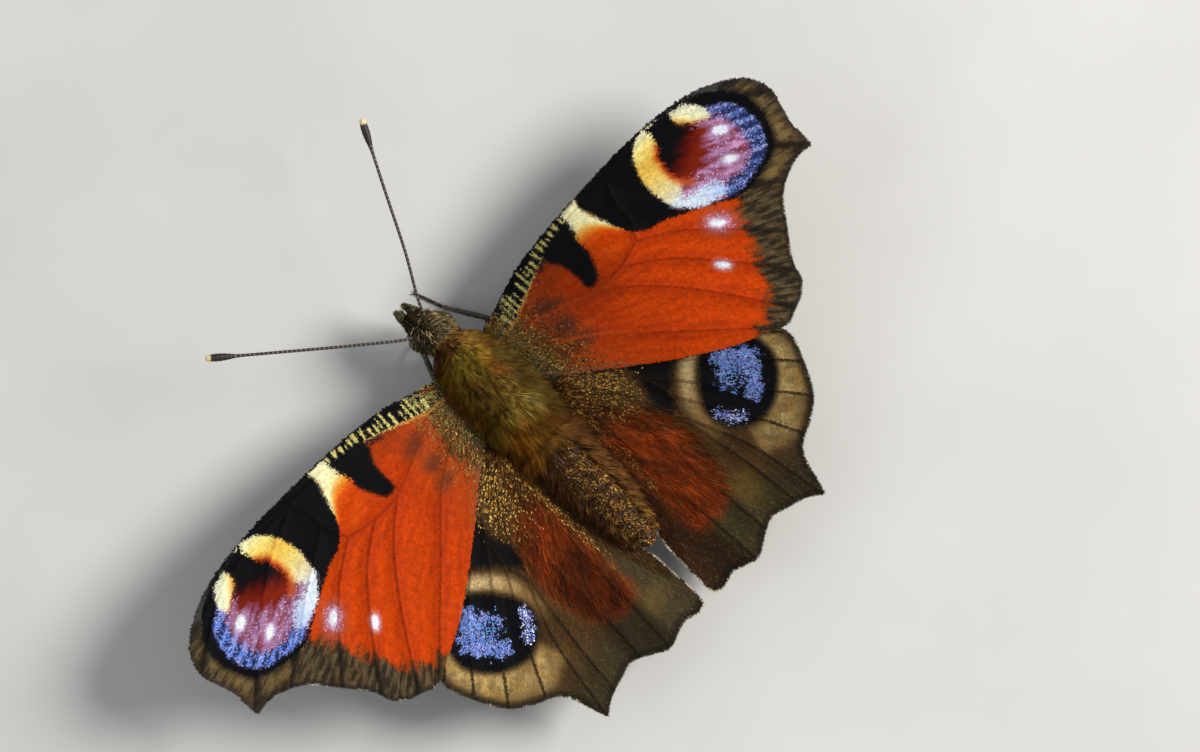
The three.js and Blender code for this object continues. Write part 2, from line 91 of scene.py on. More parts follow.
def travel(points):
    """How far along a line each of its points lies."""
    return np.append(0, np.cumsum(np.linalg.norm(np.diff(points, axis=0), axis=1)))


def between(keys, rows, at):
    """Rows of values, read between the keys that they belong to."""
    return np.stack([np.interp(at, keys, column) for column in rows.T], axis=1)


def respaced(points, step):
    """The same line with points at even steps."""
    travelled = travel(points)
    count = max(2, round(travelled[-1] / step))
    return between(travelled, points, np.linspace(0, travelled[-1], count + 1))


def smooth(points, step):
    """Evenly spaced points on a centripetal curve through a few given ones."""
    p = np.asarray(points, float)
    p = np.vstack([2 * p[0] - p[1], p, 2 * p[-1] - p[-2]])
    knots = np.sqrt(np.linalg.norm(np.diff(p, axis=0), axis=1))
    t = np.linspace(0, 1, 20, endpoint=False)[:, None]
    pieces = []
    for i in range(1, len(p) - 2):
        before, start, end, after = p[i - 1:i + 3]
        a, b, c = knots[i - 1:i + 2]
        leave = ((start - before) / a - (end - before) / (a + b) + (end - start) / b) * b
        arrive = ((end - start) / b - (after - start) / (b + c) + (after - end) / c) * b
        bend = smoothstep(0, 1, t)
        straight = start * (1 - bend) + end * bend
        pieces.append(straight + leave * t * (1 - t) ** 2 - arrive * t * t * (1 - t))
    return respaced(np.vstack([*pieces, p[-2:-1]]), step)


def patch(*points):
    """A closed outline through points, with its one corner at the first."""
    return smooth([*points, points[0]], 0.2)[:-1]


def line_distance(line, at):
    """Distance of plan points to an open line of points."""
    nearest = np.full(len(at), 1e9)
    for start, end in zip(line[:-1], line[1:]):
        run = end - start
        t = np.clip(((at - start) @ run) / max(run @ run, 1e-12), 0, 1)
        nearest = np.minimum(nearest, np.hypot(*(at - start - t[:, None] * run).T))
    return nearest


def depth(outline, at):
    """Signed distance of plan points to a closed outline, positive inside."""
    x, y = at.T
    inside = np.zeros(len(at), bool)
    for (ax, ay), (bx, by) in zip(outline, np.roll(outline, -1, axis=0)):
        if ay != by:
            inside ^= ((ay > y) != (by > y)) & (x < ax + (y - ay) * (bx - ax) / (by - ay))
    distance = line_distance(np.vstack([outline, outline[:1]]), at)
    return np.where(inside, distance, -distance)


def spot(centre, size, turn, at):
    """Signed distance to an oval spot, positive inside."""
    x, y = (at - centre).T
    c, s = math.cos(turn), math.sin(turn)
    reach = np.hypot((x * c + y * s) / size[0], (y * c - x * s) / size[1])
    return (1 - reach) * min(size)


def patchwork(at, size, seed):
    """Smooth noise from 0 to 1 over plan points, from a few waves in each of three sizes."""
    total = np.zeros(len(at))
    waves = np.random.default_rng(seed)
    for octave in range(3):
        for _ in range(4):
            turn, phase = waves.uniform(0, 2 * math.pi, 2)
            pace = 2 * math.pi * 2 ** octave / size
            across = at[:, 0] * math.cos(turn) + at[:, 1] * math.sin(turn)
            total += np.sin(across * pace + phase) / 2 ** octave
    return np.clip(0.5 + total / 8, 0, 1)


def rays(at, hinge, size, seed, run=0.12):
    """Smooth noise from 0 to 1, drawn out along the lines from a hinge."""
    out = at - hinge
    turn = np.arctan2(out[:, 1], out[:, 0]) * 12
    return patchwork(np.stack([turn, np.hypot(*out.T) * run], axis=1), size, seed)


# Making meshes
def make_mesh(name, vertices, faces, fields=None, bake_map=None, shade=True):
    """A mesh object; fields are point attributes, bake_map one place per vertex."""
    mesh = bpy.data.meshes.new(name)
    faces = faces if isinstance(faces, list) else [faces]
    mesh.vertices.add(len(vertices))
    mesh.vertices.foreach_set("co", np.asarray(vertices, np.float32).ravel())
    corners = np.concatenate([group.ravel() for group in faces])
    sizes = np.concatenate([np.full(len(group), group.shape[1]) for group in faces])
    mesh.loops.add(len(corners))
    mesh.loops.foreach_set("vertex_index", corners.astype(np.int32))
    mesh.polygons.add(len(sizes))
    starts = np.concatenate([[0], np.cumsum(sizes)[:-1]])
    mesh.polygons.foreach_set("loop_start", starts.astype(np.int32))
    mesh.update(calc_edges=True)
    mesh.validate()
    mesh.polygons.foreach_set("use_smooth", np.full(len(mesh.polygons), shade))
    for key, values in (fields or {}).items():
        values = np.asarray(values, np.float32)
        kind = {1: "FLOAT", 2: "FLOAT_VECTOR"}[values.ndim]
        slot = mesh.attributes.new(key, kind, "POINT")
        slot.data.foreach_set("value" if kind == "FLOAT" else "vector", values.ravel())
    if bake_map is not None:
        layer = mesh.uv_layers.new(name="OFBake")
        order = np.empty(len(mesh.loops), np.int32)
        mesh.loops.foreach_get("vertex_index", order)
        layer.data.foreach_set("uv", np.asarray(bake_map, np.float32)[order].ravel())
    piece = bpy.data.objects.new(name, mesh)
    bpy.context.scene.collection.objects.link(piece)
    return piece


def finish_piece(piece, slot, material, *replaces):
    piece.data.materials.append(material)
    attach(piece, "root")
    if replaces:
        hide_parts(*replaces)


def tube_quads(rings, sides):
    """Faces between rings of points."""
    k = np.arange(sides)
    after = (k + 1) % sides
    base = (np.arange(rings - 1) * sides)[:, None]
    quads = [base + k, base + after, base + sides + after, base + sides + k]
    return np.stack(quads, axis=-1).reshape(-1, 4)


def tube_faces(rings, sides):
    """Faces of a closed tube whose points are its rings and then the middles of its two ends."""
    k = np.arange(sides)
    after = (k + 1) % sides
    middle = np.full_like(k, rings * sides)
    last = (rings - 1) * sides
    fans = [middle, after, k], [middle + 1, last + k, last + after]
    return [tube_quads(rings, sides), np.vstack([np.stack(fan, axis=1) for fan in fans])]


# Tufts: hairs and scales, each a small closed body with a small patch of the bake map to itself
BAKE_PATCH = 0.003
HAIR_MIDDLE = 0.55
HAIR_PATCH = np.array([[-0.5, 0], [0.5, 0], [0, 0.2], [-0.35, 0.6], [0.35, 0.6], [0, 0.7], [0, 1]])
SCALE_SHOULDER = 0.66
SCALE_FACES = [[0, 3, 1], [1, 3, 2], [0, 1, 2], [0, 2, 3]]
SCALE_PATCH = np.array([[0, -0.5], [-0.5, 0.2], [0, 0.5], [0.5, 0.2]])


def each(sizes, count):
    """Sizes in mm, one for all tufts or one for each, as a column in metres."""
    return np.broadcast_to(sizes, count)[:, None] * MM


def tufts(name, rows, faces, run, unwrap, shape, tint, shade=True):
    """One mesh of many tufts: rows hold the places of each of their points, run how far out it is."""
    size, count = len(rows), len(rows[0])
    vertices = np.stack(rows, axis=1).reshape(-1, 3)
    faces = (np.array(faces) + size * np.arange(count)[:, None, None]).reshape(-1, 3)
    fields = {"tint": np.repeat(tint, size, axis=0), "along": np.tile(run, count)}
    bake_map = (unwrap[:, None, :] + shape * BAKE_PATCH).reshape(-1, 2)
    return make_mesh(name, vertices, faces, fields, bake_map, shade)


def hairs(name, roots, lie, normal, length, width, unwrap, tint, bend):
    """Three-sided tapering hairs, straight where bend is 0: roots in metres, sizes in mm."""
    lie, normal = unit(lie), unit(normal)
    side = unit(np.cross(lie, normal))
    up = np.cross(side, lie)
    length, width = each(length, len(roots)), each(width, len(roots))
    rings = [(roots - lie * width, 0.5)]
    if bend:
        rings.append((roots + lie * length * HAIR_MIDDLE + up * length * bend * 0.12, 0.38))
    rows = []
    for centre, thickness in rings:
        for turn in np.arange(3) * 2 * math.pi / 3:
            rows.append(centre + (side * math.cos(turn) + up * math.sin(turn)) * width * thickness)
    tip = len(rows)
    rows.append(roots + lie * length - up * length * bend * 0.25)
    faces = [[0, 2, 1]]
    for k in range(tip - 3):
        after = (k + 1) % 3
        faces += [[k, after, 3 + after], [k, 3 + after, 3 + k]]
    faces += [[k, k + 1 if k < tip - 1 else tip - 3, tip] for k in range(tip - 3, tip)]
    run = np.append(np.repeat([0, HAIR_MIDDLE], 3)[:tip], 1)
    return tufts(name, rows, faces, run, unwrap, HAIR_PATCH[[*range(tip), -1]], tint)


def shingles(name, roots, lie, normal, length, width, unwrap, tint, lift):
    """Flat kite-shaped scales: roots in metres, sizes in mm."""
    lie = unit(lie)
    side = unit(np.cross(lie, normal))
    length, width, lift = (each(sizes, len(roots)) for sizes in (length, width, lift))
    shoulder = roots + lie * length * SCALE_SHOULDER + normal * lift * 0.9
    tip = roots + lie * length + normal * lift
    rows = [roots, shoulder - side * width / 2, tip, shoulder + side * width / 2]
    run = [0, SCALE_SHOULDER, 1, SCALE_SHOULDER]
    return tufts(name, rows, SCALE_FACES, run, unwrap, SCALE_PATCH, tint, False)


# Building materials
def linear(colour):
    """Scene colour of an sRGB colour from 0 to 255."""
    c = np.asarray(colour, float) / 255
    return np.where(c <= 0.04045, c / 12.92, ((c + 0.055) / 1.055) ** 2.4)


class Finish:
    """A material made node by node, ending in one shader."""

    def __init__(self, name, roughness, sheen, specular, coat=0.0):
        self.material = bpy.data.materials.new(name)
        self.material.use_nodes = True
        self.tree = self.material.node_tree
        self.shader = self.tree.nodes["Principled BSDF"]
        settings = {"Roughness": roughness, "Specular IOR Level": specular, "Sheen Weight": sheen,
                    "Sheen Roughness": 0.4, "Coat Weight": coat}
        for key, value in settings.items():
            self.shader.inputs[key].default_value = value
        self.places = self.node("ShaderNodeTexCoord").outputs["Object"]

    def node(self, kind, inputs=(), **settings):
        made = self.tree.nodes.new(kind)
        for key, value in settings.items():
            setattr(made, key, value)
        for key, value in dict(inputs).items():
            self.join(value, made.inputs[key])
        return made

    def join(self, value, socket):
        """Feeds a socket from another one, or sets it to a number or an sRGB colour."""
        if isinstance(value, bpy.types.NodeSocket):
            self.tree.links.new(value, socket)
        else:
            socket.default_value = (*linear(value), 1.0) if isinstance(value, tuple) else value

    def field(self, name, output="Fac"):
        """A point attribute's value."""
        return self.node("ShaderNodeAttribute", attribute_name=name).outputs[output]

    def tinted(self, shade):
        """The markings' own colours, times a shade."""
        inputs = {0: self.field("tint", "Vector"), "Scale": shade}
        return self.node("ShaderNodeVectorMath", inputs, operation="SCALE").outputs[0]

    def math(self, operation, *values):
        return self.node("ShaderNodeMath", enumerate(values), operation=operation).outputs[0]

    def step(self, value, low, high, start=0.0, end=1.0):
        inputs = {"Value": value, "From Min": low, "From Max": high, "To Min": start, "To Max": end}
        return self.node("ShaderNodeMapRange", inputs, interpolation_type="SMOOTHSTEP").outputs[0]

    def mix(self, factor, first, second):
        return self.node("ShaderNodeMix", {0: factor, 6: first, 7: second}, data_type="RGBA").outputs[2]

    def noise(self, scale, detail=2.0):
        inputs = {"Vector": self.places, "Scale": scale, "Detail": detail}
        return self.node("ShaderNodeTexNoise", inputs).outputs[0]

    def cells(self, scale):
        return self.node("ShaderNodeTexVoronoi", {"Vector": self.places, "Scale": scale}).outputs

    def bump(self, height, distance, strength):
        inputs = {"Height": height, "Distance": distance * MM, "Strength": strength}
        return self.node("ShaderNodeBump", inputs).outputs[0]

    def done(self, colour, normal=None, mottle=None, rough=None):
        """Ends the material; a mottle takes its roughness from the first to the second of rough."""
        self.join(colour, self.shader.inputs["Base Color"])
        if normal is not None:
            self.join(normal, self.shader.inputs["Normal"])
        if mottle is not None:
            self.join(self.step(mottle, 0.2, 0.8, *rough), self.shader.inputs["Roughness"])
        return self.material


# Body: sections across the long axis as [rear, half width, half height, height of the centre]
BODY_SECTIONS = [
    [-7.85, 0.3, 0.3, 5.7], [-7.6, 0.72, 0.75, 5.7], [-7.0, 1.2, 1.25, 5.75], [-6.2, 1.5, 1.5, 5.8],
    [-5.5, 1.42, 1.45, 5.85], [-4.9, 1.2, 1.3, 5.9], [-4.2, 1.9, 1.85, 5.9], [-3.0, 2.5, 2.5, 5.9],
    [-1.2, 2.78, 2.8, 5.9], [0.8, 2.8, 2.8, 5.9], [2.6, 2.62, 2.6, 5.85], [4.2, 2.25, 2.2, 5.75],
    [5.4, 1.85, 1.85, 5.65], [7.0, 1.98, 1.92, 5.55], [11.0, 2.02, 1.92, 5.3], [13.5, 1.82, 1.75, 5.15],
    [15.5, 1.35, 1.3, 5.05], [16.8, 0.8, 0.78, 5.0], [17.5, 0.2, 0.2, 5.0],
]


def along(rows, key):
    """Values of a smooth curve through rows of [key, value, value...]."""
    rows = np.asarray(rows, float)
    reach = np.vstack([rows[1:], rows[-1:]]) - np.vstack([rows[:1], rows[:-1]])
    slopes = reach[:, 1:] / reach[:, :1]
    i = np.clip(np.searchsorted(rows[:, 0], key, side="right") - 1, 0, len(rows) - 2)
    span = rows[i + 1, 0] - rows[i, 0]
    t = np.clip((key - rows[i, 0]) / span, 0, 1)[..., None]
    span = span[..., None]
    bend = smoothstep(0, 1, t)
    lift = ((t - 2) * t + 1) * t * slopes[i] + (t - 1) * t * t * slopes[i + 1]
    return rows[i, 1:] * (1 - bend) + rows[i + 1, 1:] * bend + lift * span


# Wings: the lie of the membrane in height, and its relief
ROOT_LATERAL = 2.6
WING_RISE = 0.17
WING_SAG = 0.0012
WING_CAMBER = 0.004
CAMBER_REAR = 2
FOLD_DEPTH = 0.7
FOLD_LATERAL = 1.5
FOLD_WIDTH = 2.0
HALF_SKIN = 0.025
VEIN_RELIEF = 0.07
VEIN_WIDTH = 0.13
CELL_SAG = 0.13
CELL_REACH = 1.2
ROOT_TUCK = 0.5  # how far the wings reach into the body's hair
FRINGE_INSET = 0.14
EDGE_STEP = 0.13
FIELD_STEP = 0.36
VEIN_STEP = 0.3
VEIN_ROWS = (-0.26, -0.11, 0, 0.11, 0.26)  # points beside a vein, by their distance from it

FOREWING_SHAPE = {
    "root": (1.9, -3.2),
    "height": 6.78,
    "hinge": (1.2, -1.6),
    "runs": [
        [(5, -4.1), (7.3, -4.8), (10.5, -5.25), (15, -5.5), (20.5, -5.55), (25, -5.1), (28.2, -4.1),
         (30.6, -2.4), (31.35, -0.5), (30.75, 1.8), (30.5, 3.1), (30.4, 4.8)],
        [(30.4, 4.8), (29.2, 4.65), (27.7, 5.0), (26.4, 5.7), (24.3, 8.2), (22.9, 10.2), (22.6, 11.3),
         (21.7, 12.2), (20.4, 12.7), (19.5, 13.1), (18.9, 12.95)],
        [(18.9, 12.95), (15, 11.2), (12.1, 9.35), (8, 6.3), (5, 3.9)],
    ],
    "veins": {
        "subcosta": [(3.4, -2.9), (8, -4.35), (13, -4.95), (17, -5.5)],
        "radius": [(3.4, -2.2), (7.5, -3.2), (12, -4.4), (17, -4.75), (21.5, -5.5)],
        "radius2": [(17, -4.75), (21, -4.6), (24.5, -5.2)],
        "radius4": [(21, -4.6), (25, -4.1), (30.0, -2.9)],
        "radius5": [(25, -4.1), (28, -2.4), (31.3, -0.3)],
        "media1": [(17.3, -4.5), (21.5, -2.6), (25.5, 0.3), (28.3, 2.8), (30.3, 4.5)],
        "cell_end": [(17.3, -4.5), (16.7, -2.8), (16.6, -1.3), (15.8, 0.3)],
        "media2": [(16.7, -1.8), (20, 0.3), (23.5, 2.7), (27.2, 5.3)],
        "cubitus": [(3.6, -1.7), (7, -0.7), (11, 0.75), (13.5, 0.8), (15.8, 0.3)],
        "media3": [(15.8, 0.3), (18.7, 2.2), (21.6, 5.0), (24.3, 8.0)],
        "cubitus1": [(13.4, 0.8), (16.4, 2.9), (19.4, 6.2), (22.7, 10.6)],
        "cubitus2": [(10.9, 0.75), (13.2, 2.6), (16.2, 6.0), (20.6, 12.5)],
        "anal": [(3.8, 0.2), (8, 2.7), (12.2, 6.6), (18.4, 12.5)],
    },
}
HINDWING_SHAPE = {
    "root": (4.6, 1.3),
    "height": 6.2,
    "hinge": (1.0, 2.2),
    "runs": [
        [(6.3, 1.9), (11, 4.4), (15.5, 8.3), (18.9, 13.4), (18.3, 15.6), (16.9, 18.2), (15.4, 19.4),
         (13.5, 20.4), (12.8, 21.6), (12.4, 23.0), (12.0, 24.3)],
        [(12.0, 24.3), (10.9, 23.5), (9, 22.9), (7.9, 22.6), (6.9, 22.95), (4.9, 24.05), (3.8, 23.75),
         (2.6, 23.45), (1.3, 23.8), (0.55, 23.5)],
        [(0.55, 23.5), (0.42, 22), (0.5, 20.3), (0.55, 18.6), (0.75, 17.2), (1.1, 15.8), (1.5, 14),
         (1.75, 12), (1.8, 9), (1.8, 6.2)],
    ],
    "veins": {
        "subcosta": [(3.9, 2.6), (8.5, 4.6), (13.5, 8.3), (18.6, 13.2)],
        "sector": [(7.2, 5.6), (11.5, 9.0), (15, 12.4), (18.1, 15.9)],
        "media1": [(8.2, 7.4), (12.2, 12.4), (16.7, 18.2)],
        "media2": [(9.1, 10.4), (12.1, 15.6), (14.3, 20.0)],
        "media3": [(8.6, 12.2), (10.6, 17.2), (11.9, 24.1)],
        "cubitus": [(3.6, 3.4), (6.2, 7.0), (8.0, 10.8), (9.3, 16.6), (10.1, 23.1)],
        "discal": [(3.9, 2.6), (6.0, 4.4), (8.2, 7.4), (9.1, 10.4), (8.6, 12.2)],
        "cubitus2": [(5.9, 6.5), (6.3, 12), (6.6, 18.5), (6.9, 22.8)],
        "anal": [(3.5, 4.0), (4.0, 9), (4.3, 16), (4.8, 23.9)],
    },
}


class Wing:
    """The plan, relief and lie of one wing, the same for both sides."""

    def __init__(self, name, shape, colours, underside):
        self.name = name
        self.colours = colours
        self.underside = underside
        self.root_height = shape["height"]
        self.hinge = np.array(shape["hinge"])
        self.veins = [smooth(vein, 0.4) for vein in shape["veins"].values()]
        rear_root, front_root = shape["root"]
        runs = [list(run) for run in shape["runs"]]
        runs[0].insert(0, self.root_edge(front_root))
        runs[-1].append(self.root_edge(rear_root))
        runs.append([self.root_edge(front_root + (rear_root - front_root) * t) for t in (1, 0.5, 0)])
        self.outline = np.vstack([smooth(run, EDGE_STEP)[:-1] for run in runs])
        self.coarse = np.vstack([smooth(run, 0.35)[:-1] for run in runs])
        self.margin = smooth(runs[0], EDGE_STEP), smooth(runs[1], EDGE_STEP)
        self.low, self.high = self.outline.min(axis=0), self.outline.max(axis=0)

    def root_edge(self, rear):
        half_width, half_height, height = along(BODY_SECTIONS, np.array(rear))
        up = (self.root_height - height) / half_height
        return half_width * math.sqrt(max(0, 1 - up * up)) - ROOT_TUCK, rear

    def vein_distance(self, at):
        return np.min([line_distance(vein, at) for vein in self.veins], axis=0)

    def height(self, at, face, veins=None):
        """Height in mm of the upper (1) or lower (-1) face at plan points."""
        lateral, rear = at.T
        out = lateral - ROOT_LATERAL
        height = self.root_height + WING_RISE * out - WING_SAG * out ** 2
        height -= WING_CAMBER * (rear - CAMBER_REAR) ** 2
        if self.name == "hindwing":
            beside = np.exp(-((lateral - FOLD_LATERAL) / FOLD_WIDTH) ** 2)
            height -= FOLD_DEPTH * beside * smoothstep(4, 10, rear)
        if veins is None:
            veins = self.vein_distance(at)
        ridge = VEIN_RELIEF * np.exp(-(veins / VEIN_WIDTH) ** 2)
        return height - CELL_SAG * smoothstep(0, CELL_REACH, veins) + face * (HALF_SKIN + ridge)

    def surface(self, side, at, face):
        """World places and outward normals at plan points, and their distance to a vein."""
        step = 0.04
        veins = self.vein_distance(at)
        height = self.height(at, face, veins)
        slope_out = (self.height(at + [step, 0], face) - height) / step
        slope_back = (self.height(at + [0, step], face) - height) / step
        normal = face * np.stack([-side * slope_out, -slope_back, np.ones(len(at))], axis=1)
        return place(side, *at.T, height), unit(normal), veins

    def lie(self, side, at, face, turn=0.0):
        """World directions from the hinge outwards, turned a little in the plan."""
        out = at - self.hinge
        angle = np.arctan2(out[:, 1], out[:, 0]) + turn
        ahead = at + 0.05 * np.stack([np.cos(angle), np.sin(angle)], axis=1)
        here = place(side, *at.T, self.height(at, face))
        return unit(place(side, *ahead.T, self.height(ahead, face)) - here)

    def bake_place(self, at):
        """The plan on the unit square: the wing is nearly flat, so this is its own unwrap."""
        return 0.02 + 0.96 * (at - self.low) / (self.high - self.low).max()


def fringe_inset(outline):
    """The outline drawn in by the fringe's depth, with its corners eased."""
    tangent = unit(np.roll(outline, -3, axis=0) - np.roll(outline, 3, axis=0))
    return outline + square_to(tangent) * FRINGE_INSET * winding(outline)


def wing_net(wing):
    """Plan points and triangles of a wing, dense beside its veins and even between them."""
    edge = fringe_inset(wing.outline)
    inner = []
    for vein in wing.veins:
        line = respaced(vein, VEIN_STEP)
        across = square_to(unit(np.gradient(line, axis=0)))
        inner += [line + across * shift for shift in VEIN_ROWS]
    columns = np.arange(wing.low[0], wing.high[0], FIELD_STEP)
    rows = np.arange(wing.low[1], wing.high[1], FIELD_STEP * 0.87)
    x, y = np.meshgrid(columns, rows)
    x = x + FIELD_STEP / 2 * (np.arange(len(rows)) % 2)[:, None]
    inner = np.vstack([*inner, np.stack([x.ravel(), y.ravel()], axis=1)])
    inner = inner[depth(wing.coarse, inner) > FRINGE_INSET + 0.1]
    points = [Vector(p) for p in np.vstack([edge, inner])]
    ring = [(i, (i + 1) % len(edge)) for i in range(len(edge))]
    vertices, _, faces, *_ = delaunay_2d_cdt(points, ring, [], 1, 0.02)
    return np.array([tuple(v) for v in vertices]), np.array(faces)


def membrane(side_name, wing, material):
    """The wing's thin skin: one net of triangles for both faces, closed round its edge."""
    side = SIDES[side_name]
    at, faces = wing_net(wing)
    count = len(at)
    a, b, c = (at[faces[:, k]] for k in range(3))
    turn = (b - a)[:, 0] * (c - a)[:, 1] - (b - a)[:, 1] * (c - a)[:, 0]
    flip = turn * side < 0
    faces[flip] = faces[flip][:, ::-1]
    edges = np.vstack([faces[:, [0, 1]], faces[:, [1, 2]], faces[:, [2, 0]]])
    key = np.sort(edges, axis=1) @ [count, 1]
    _, first, uses = np.unique(key, return_index=True, return_counts=True)
    rim = edges[first[uses == 1]]
    walls = np.stack([rim[:, 1], rim[:, 0], rim[:, 0] + count, rim[:, 1] + count], axis=1)
    veins = wing.vein_distance(at)
    places = np.vstack([place(side, *at.T, wing.height(at, face, veins)) for face in (1, -1)])
    tints = [paint(Markings(at, side=side), wing, veins) for paint in (wing.colours, wing.underside)]
    bake_map = np.tile(wing.bake_place(at) * 0.48, (2, 1))
    bake_map[count:, 0] += 0.5
    piece = make_mesh(f"{wing.name}_{side_name}_membrane", places,
                      [np.vstack([faces, faces[:, ::-1] + count]), walls], {"tint": np.vstack(tints)},
                      bake_map)
    finish_piece(piece, f"{wing.name}_scales", material, f"{wing.name}_{side_name}")


# Wing scales, in rows round the hinge
UPPER_SCALES = {"length": 0.175, "width": 0.11, "row": 0.112, "across": 0.092, "lift": 0.028}
UNDER_SCALES = {"length": 0.32, "width": 0.22, "row": 0.23, "across": 0.185, "lift": 0.035}
FIRST_ROW = 1.2
FAN_START = -0.55
FAN_SPAN = 1.35  # both in half turns round the hinge


def scale_roots(draw, wing, sizes):
    """Plan points in rows round the hinge, each a little off its row."""
    bounds = wing.low, wing.high
    corners = np.array([(x[0], y[1]) for x in bounds for y in bounds])
    reach = np.linalg.norm(corners - wing.hinge, axis=1).max()
    rows = []
    for i, radius in enumerate(np.arange(FIRST_ROW, reach, sizes["row"])):
        count = int(radius * FAN_SPAN * math.pi / sizes["across"])
        angle = (np.arange(count) + 0.5 * (i % 2)) * sizes["across"] / radius + FAN_START * math.pi
        rows.append(np.stack([radius * np.cos(angle), radius * np.sin(angle)], axis=1))
    at = np.vstack(rows) + wing.hinge
    at = at[(at > wing.low).all(axis=1) & (at < wing.high).all(axis=1)]
    at += draw.normal(0, 0.16, at.shape) * sizes["across"]
    tips = at + 0.9 * sizes["length"] * unit(at - wing.hinge)
    root_in, tip_in = depth(wing.coarse, at) - FRINGE_INSET * 0.6, depth(wing.coarse, tips) - 0.02
    return at[np.minimum(root_in, tip_in) > 0]


def scale_coat(side_name, wing, face, sizes, material):
    side = SIDES[side_name]
    draw = np.random.default_rng([len(wing.name), side + 1, face + 1])
    at = scale_roots(draw, wing, sizes)
    count = len(at)
    roots, normal, veins = wing.surface(side, at, face)
    lie = wing.lie(side, at, face, draw.normal(0, 0.1, count))
    middle = at + 0.5 * sizes["length"] * unit(at - wing.hinge)
    tint = (wing.colours if face > 0 else wing.underside)(Markings(middle, draw, side), wing, veins)
    length = sizes["length"] * draw.uniform(0.85, 1.15, count)
    width = sizes["width"] * draw.uniform(0.88, 1.12, count)
    lift = sizes["lift"] * draw.uniform(0.6, 1.5, count)
    label = "upper" if face > 0 else "under"
    piece = shingles(f"{wing.name}_{side_name}_{label}_scales", roots, lie, normal, length, width,
                     wing.bake_place(at), tint, lift)
    finish_piece(piece, f"{wing.name}_scales", material)


# Wing markings, as closed outlines in the plan
WEDGE = patch(
    (10, -4.25), (13.2, -4.55), (13.05, -3.6), (12.75, -2.2), (12.2, -0.7), (11.6, 0.2), (10.7, 0.2),
    (10.6, -1), (10.4, -2.5), (9.9, -3.3)
)
PALE_PATCH = patch(
    (13.1, -5.7), (14.95, -5.7), (14.6, -4.4), (15.2, -2.8), (16.3, -0.4), (13.9, -0.9), (12.7, -2.4),
    (13.0, -4.1)
)
BLACK_BAND = patch(
    (14.9, -5.8), (14.5, -4.6), (14.8, -3.5), (15.3, -2), (16, -0.5), (17, 0.3), (18.4, 0.75),
    (19.5, 1.3), (21.5, 2.3), (22.5, 2.95), (23.4, 3.45), (24.2, 3.7), (26.2, 3.5), (27.9, 3.0),
    (28.85, 2.2), (29.3, 1.1), (29.6, -0.3), (29.5, -1.4), (28.9, -2.6), (27.5, -3.9), (25.5, -4.9),
    (24, -5.4), (20, -6.0)
)
EYESPOT = patch(
    (23.6, -5.05), (22.7, -5.35), (21.8, -5.3), (20.7, -4.85), (20.05, -4.15), (19.55, -3.1),
    (19.3, -2), (19.35, -0.8), (19.5, 0.1), (19.8, 0.8), (20.3, 1.35), (21.1, 2.05), (22.3, 2.6),
    (23.4, 3.1), (24.3, 3.3), (25.5, 3.15), (26.5, 2.95), (27.55, 2.6), (28.2, 1.95), (28.6, 1.2),
    (28.8, 0.25), (28.7, -0.7), (28.45, -1.7), (27.9, -2.4), (27.1, -2.9), (26.6, -3.3), (26.3, -3.9),
    (25.7, -4.45), (24.9, -4.6)
)
BLUE_CRESCENT = patch(
    (26.3, -3.3), (27.2, -3.4), (29.2, -1.7), (29.3, 0.5), (28.3, 2.7), (26, 3.8), (23.6, 3.6),
    (23.1, 2.6), (23.8, 2.1), (24.8, 2.35), (25.8, 2.25), (26.6, 1.85), (27.15, 1.1), (27.3, 0.2),
    (27.35, -0.7), (27.15, -1.7), (26.6, -2.4)
)
YELLOW_CRESCENT = patch(
    (23.9, -5.3), (21, -5.9), (18.9, -3), (18.9, 0.2), (20.1, 0.75), (20.7, 0.3), (21.1, -0.1),
    (21.4, -0.6), (21.3, -1.3), (21.25, -2.1), (21.5, -2.9), (22, -3.5), (22.3, -4.0), (23.1, -4.4),
    (23.9, -4.75)
)
SECOND_YELLOW = patch(
    (24.2, -4.1), (24.5, -4.7), (25.4, -4.75), (26.2, -3.9), (26.7, -3.1), (26.5, -2.35),
    (25.85, -2.45), (25.1, -3.0), (24.45, -3.5)
)
PUPIL = patch(
    (22.3, -5.1), (24.1, -5.2), (24.2, -4.2), (24.4, -3.5), (25.0, -2.95), (25.6, -2.4), (25.4, -1.9),
    (24.8, -1.5), (24.2, -0.8), (23.7, -0.2), (22.7, -0.05), (21.8, -0.4), (21.4, -1.1), (21.4, -2),
    (21.6, -2.9), (22.05, -3.5), (22.25, -4.2)
)
WHITE_BAND = patch(
    (19.4, 0.1), (20.4, 0.35), (21.2, 0.8), (22.4, 1.05), (23.4, 1.7), (23.6, 2.3), (22.7, 2.65),
    (21, 2.15), (20.1, 1.4), (19.4, 0.7)
)
MARGIN = patch(
    (32, -0.9), (31, -3), (29.8, -3.9), (28.4, -2.8), (28.8, -0.6), (28.6, 1.2), (28, 2.1), (26.8, 2.7),
    (25.2, 3.1), (23.9, 3.6), (23.1, 4.3), (22.5, 5.5), (21.9, 7), (21.1, 8.5), (20.1, 10.4),
    (18.9, 11.5), (17.5, 12.1), (18.5, 14), (24, 13), (32, 6)
)
HIND_EYESPOT = patch(
    (12.5, 10.2), (11.6, 11.2), (10.9, 12.2), (10.35, 13.1), (10.2, 14), (10.4, 14.9), (11, 15.7),
    (11.9, 16.3), (12.9, 16.6), (14, 16.4), (15.1, 15.85), (16.05, 15), (16.65, 14.1), (16.9, 13.2),
    (16.5, 11.5), (14.5, 9.6)
)
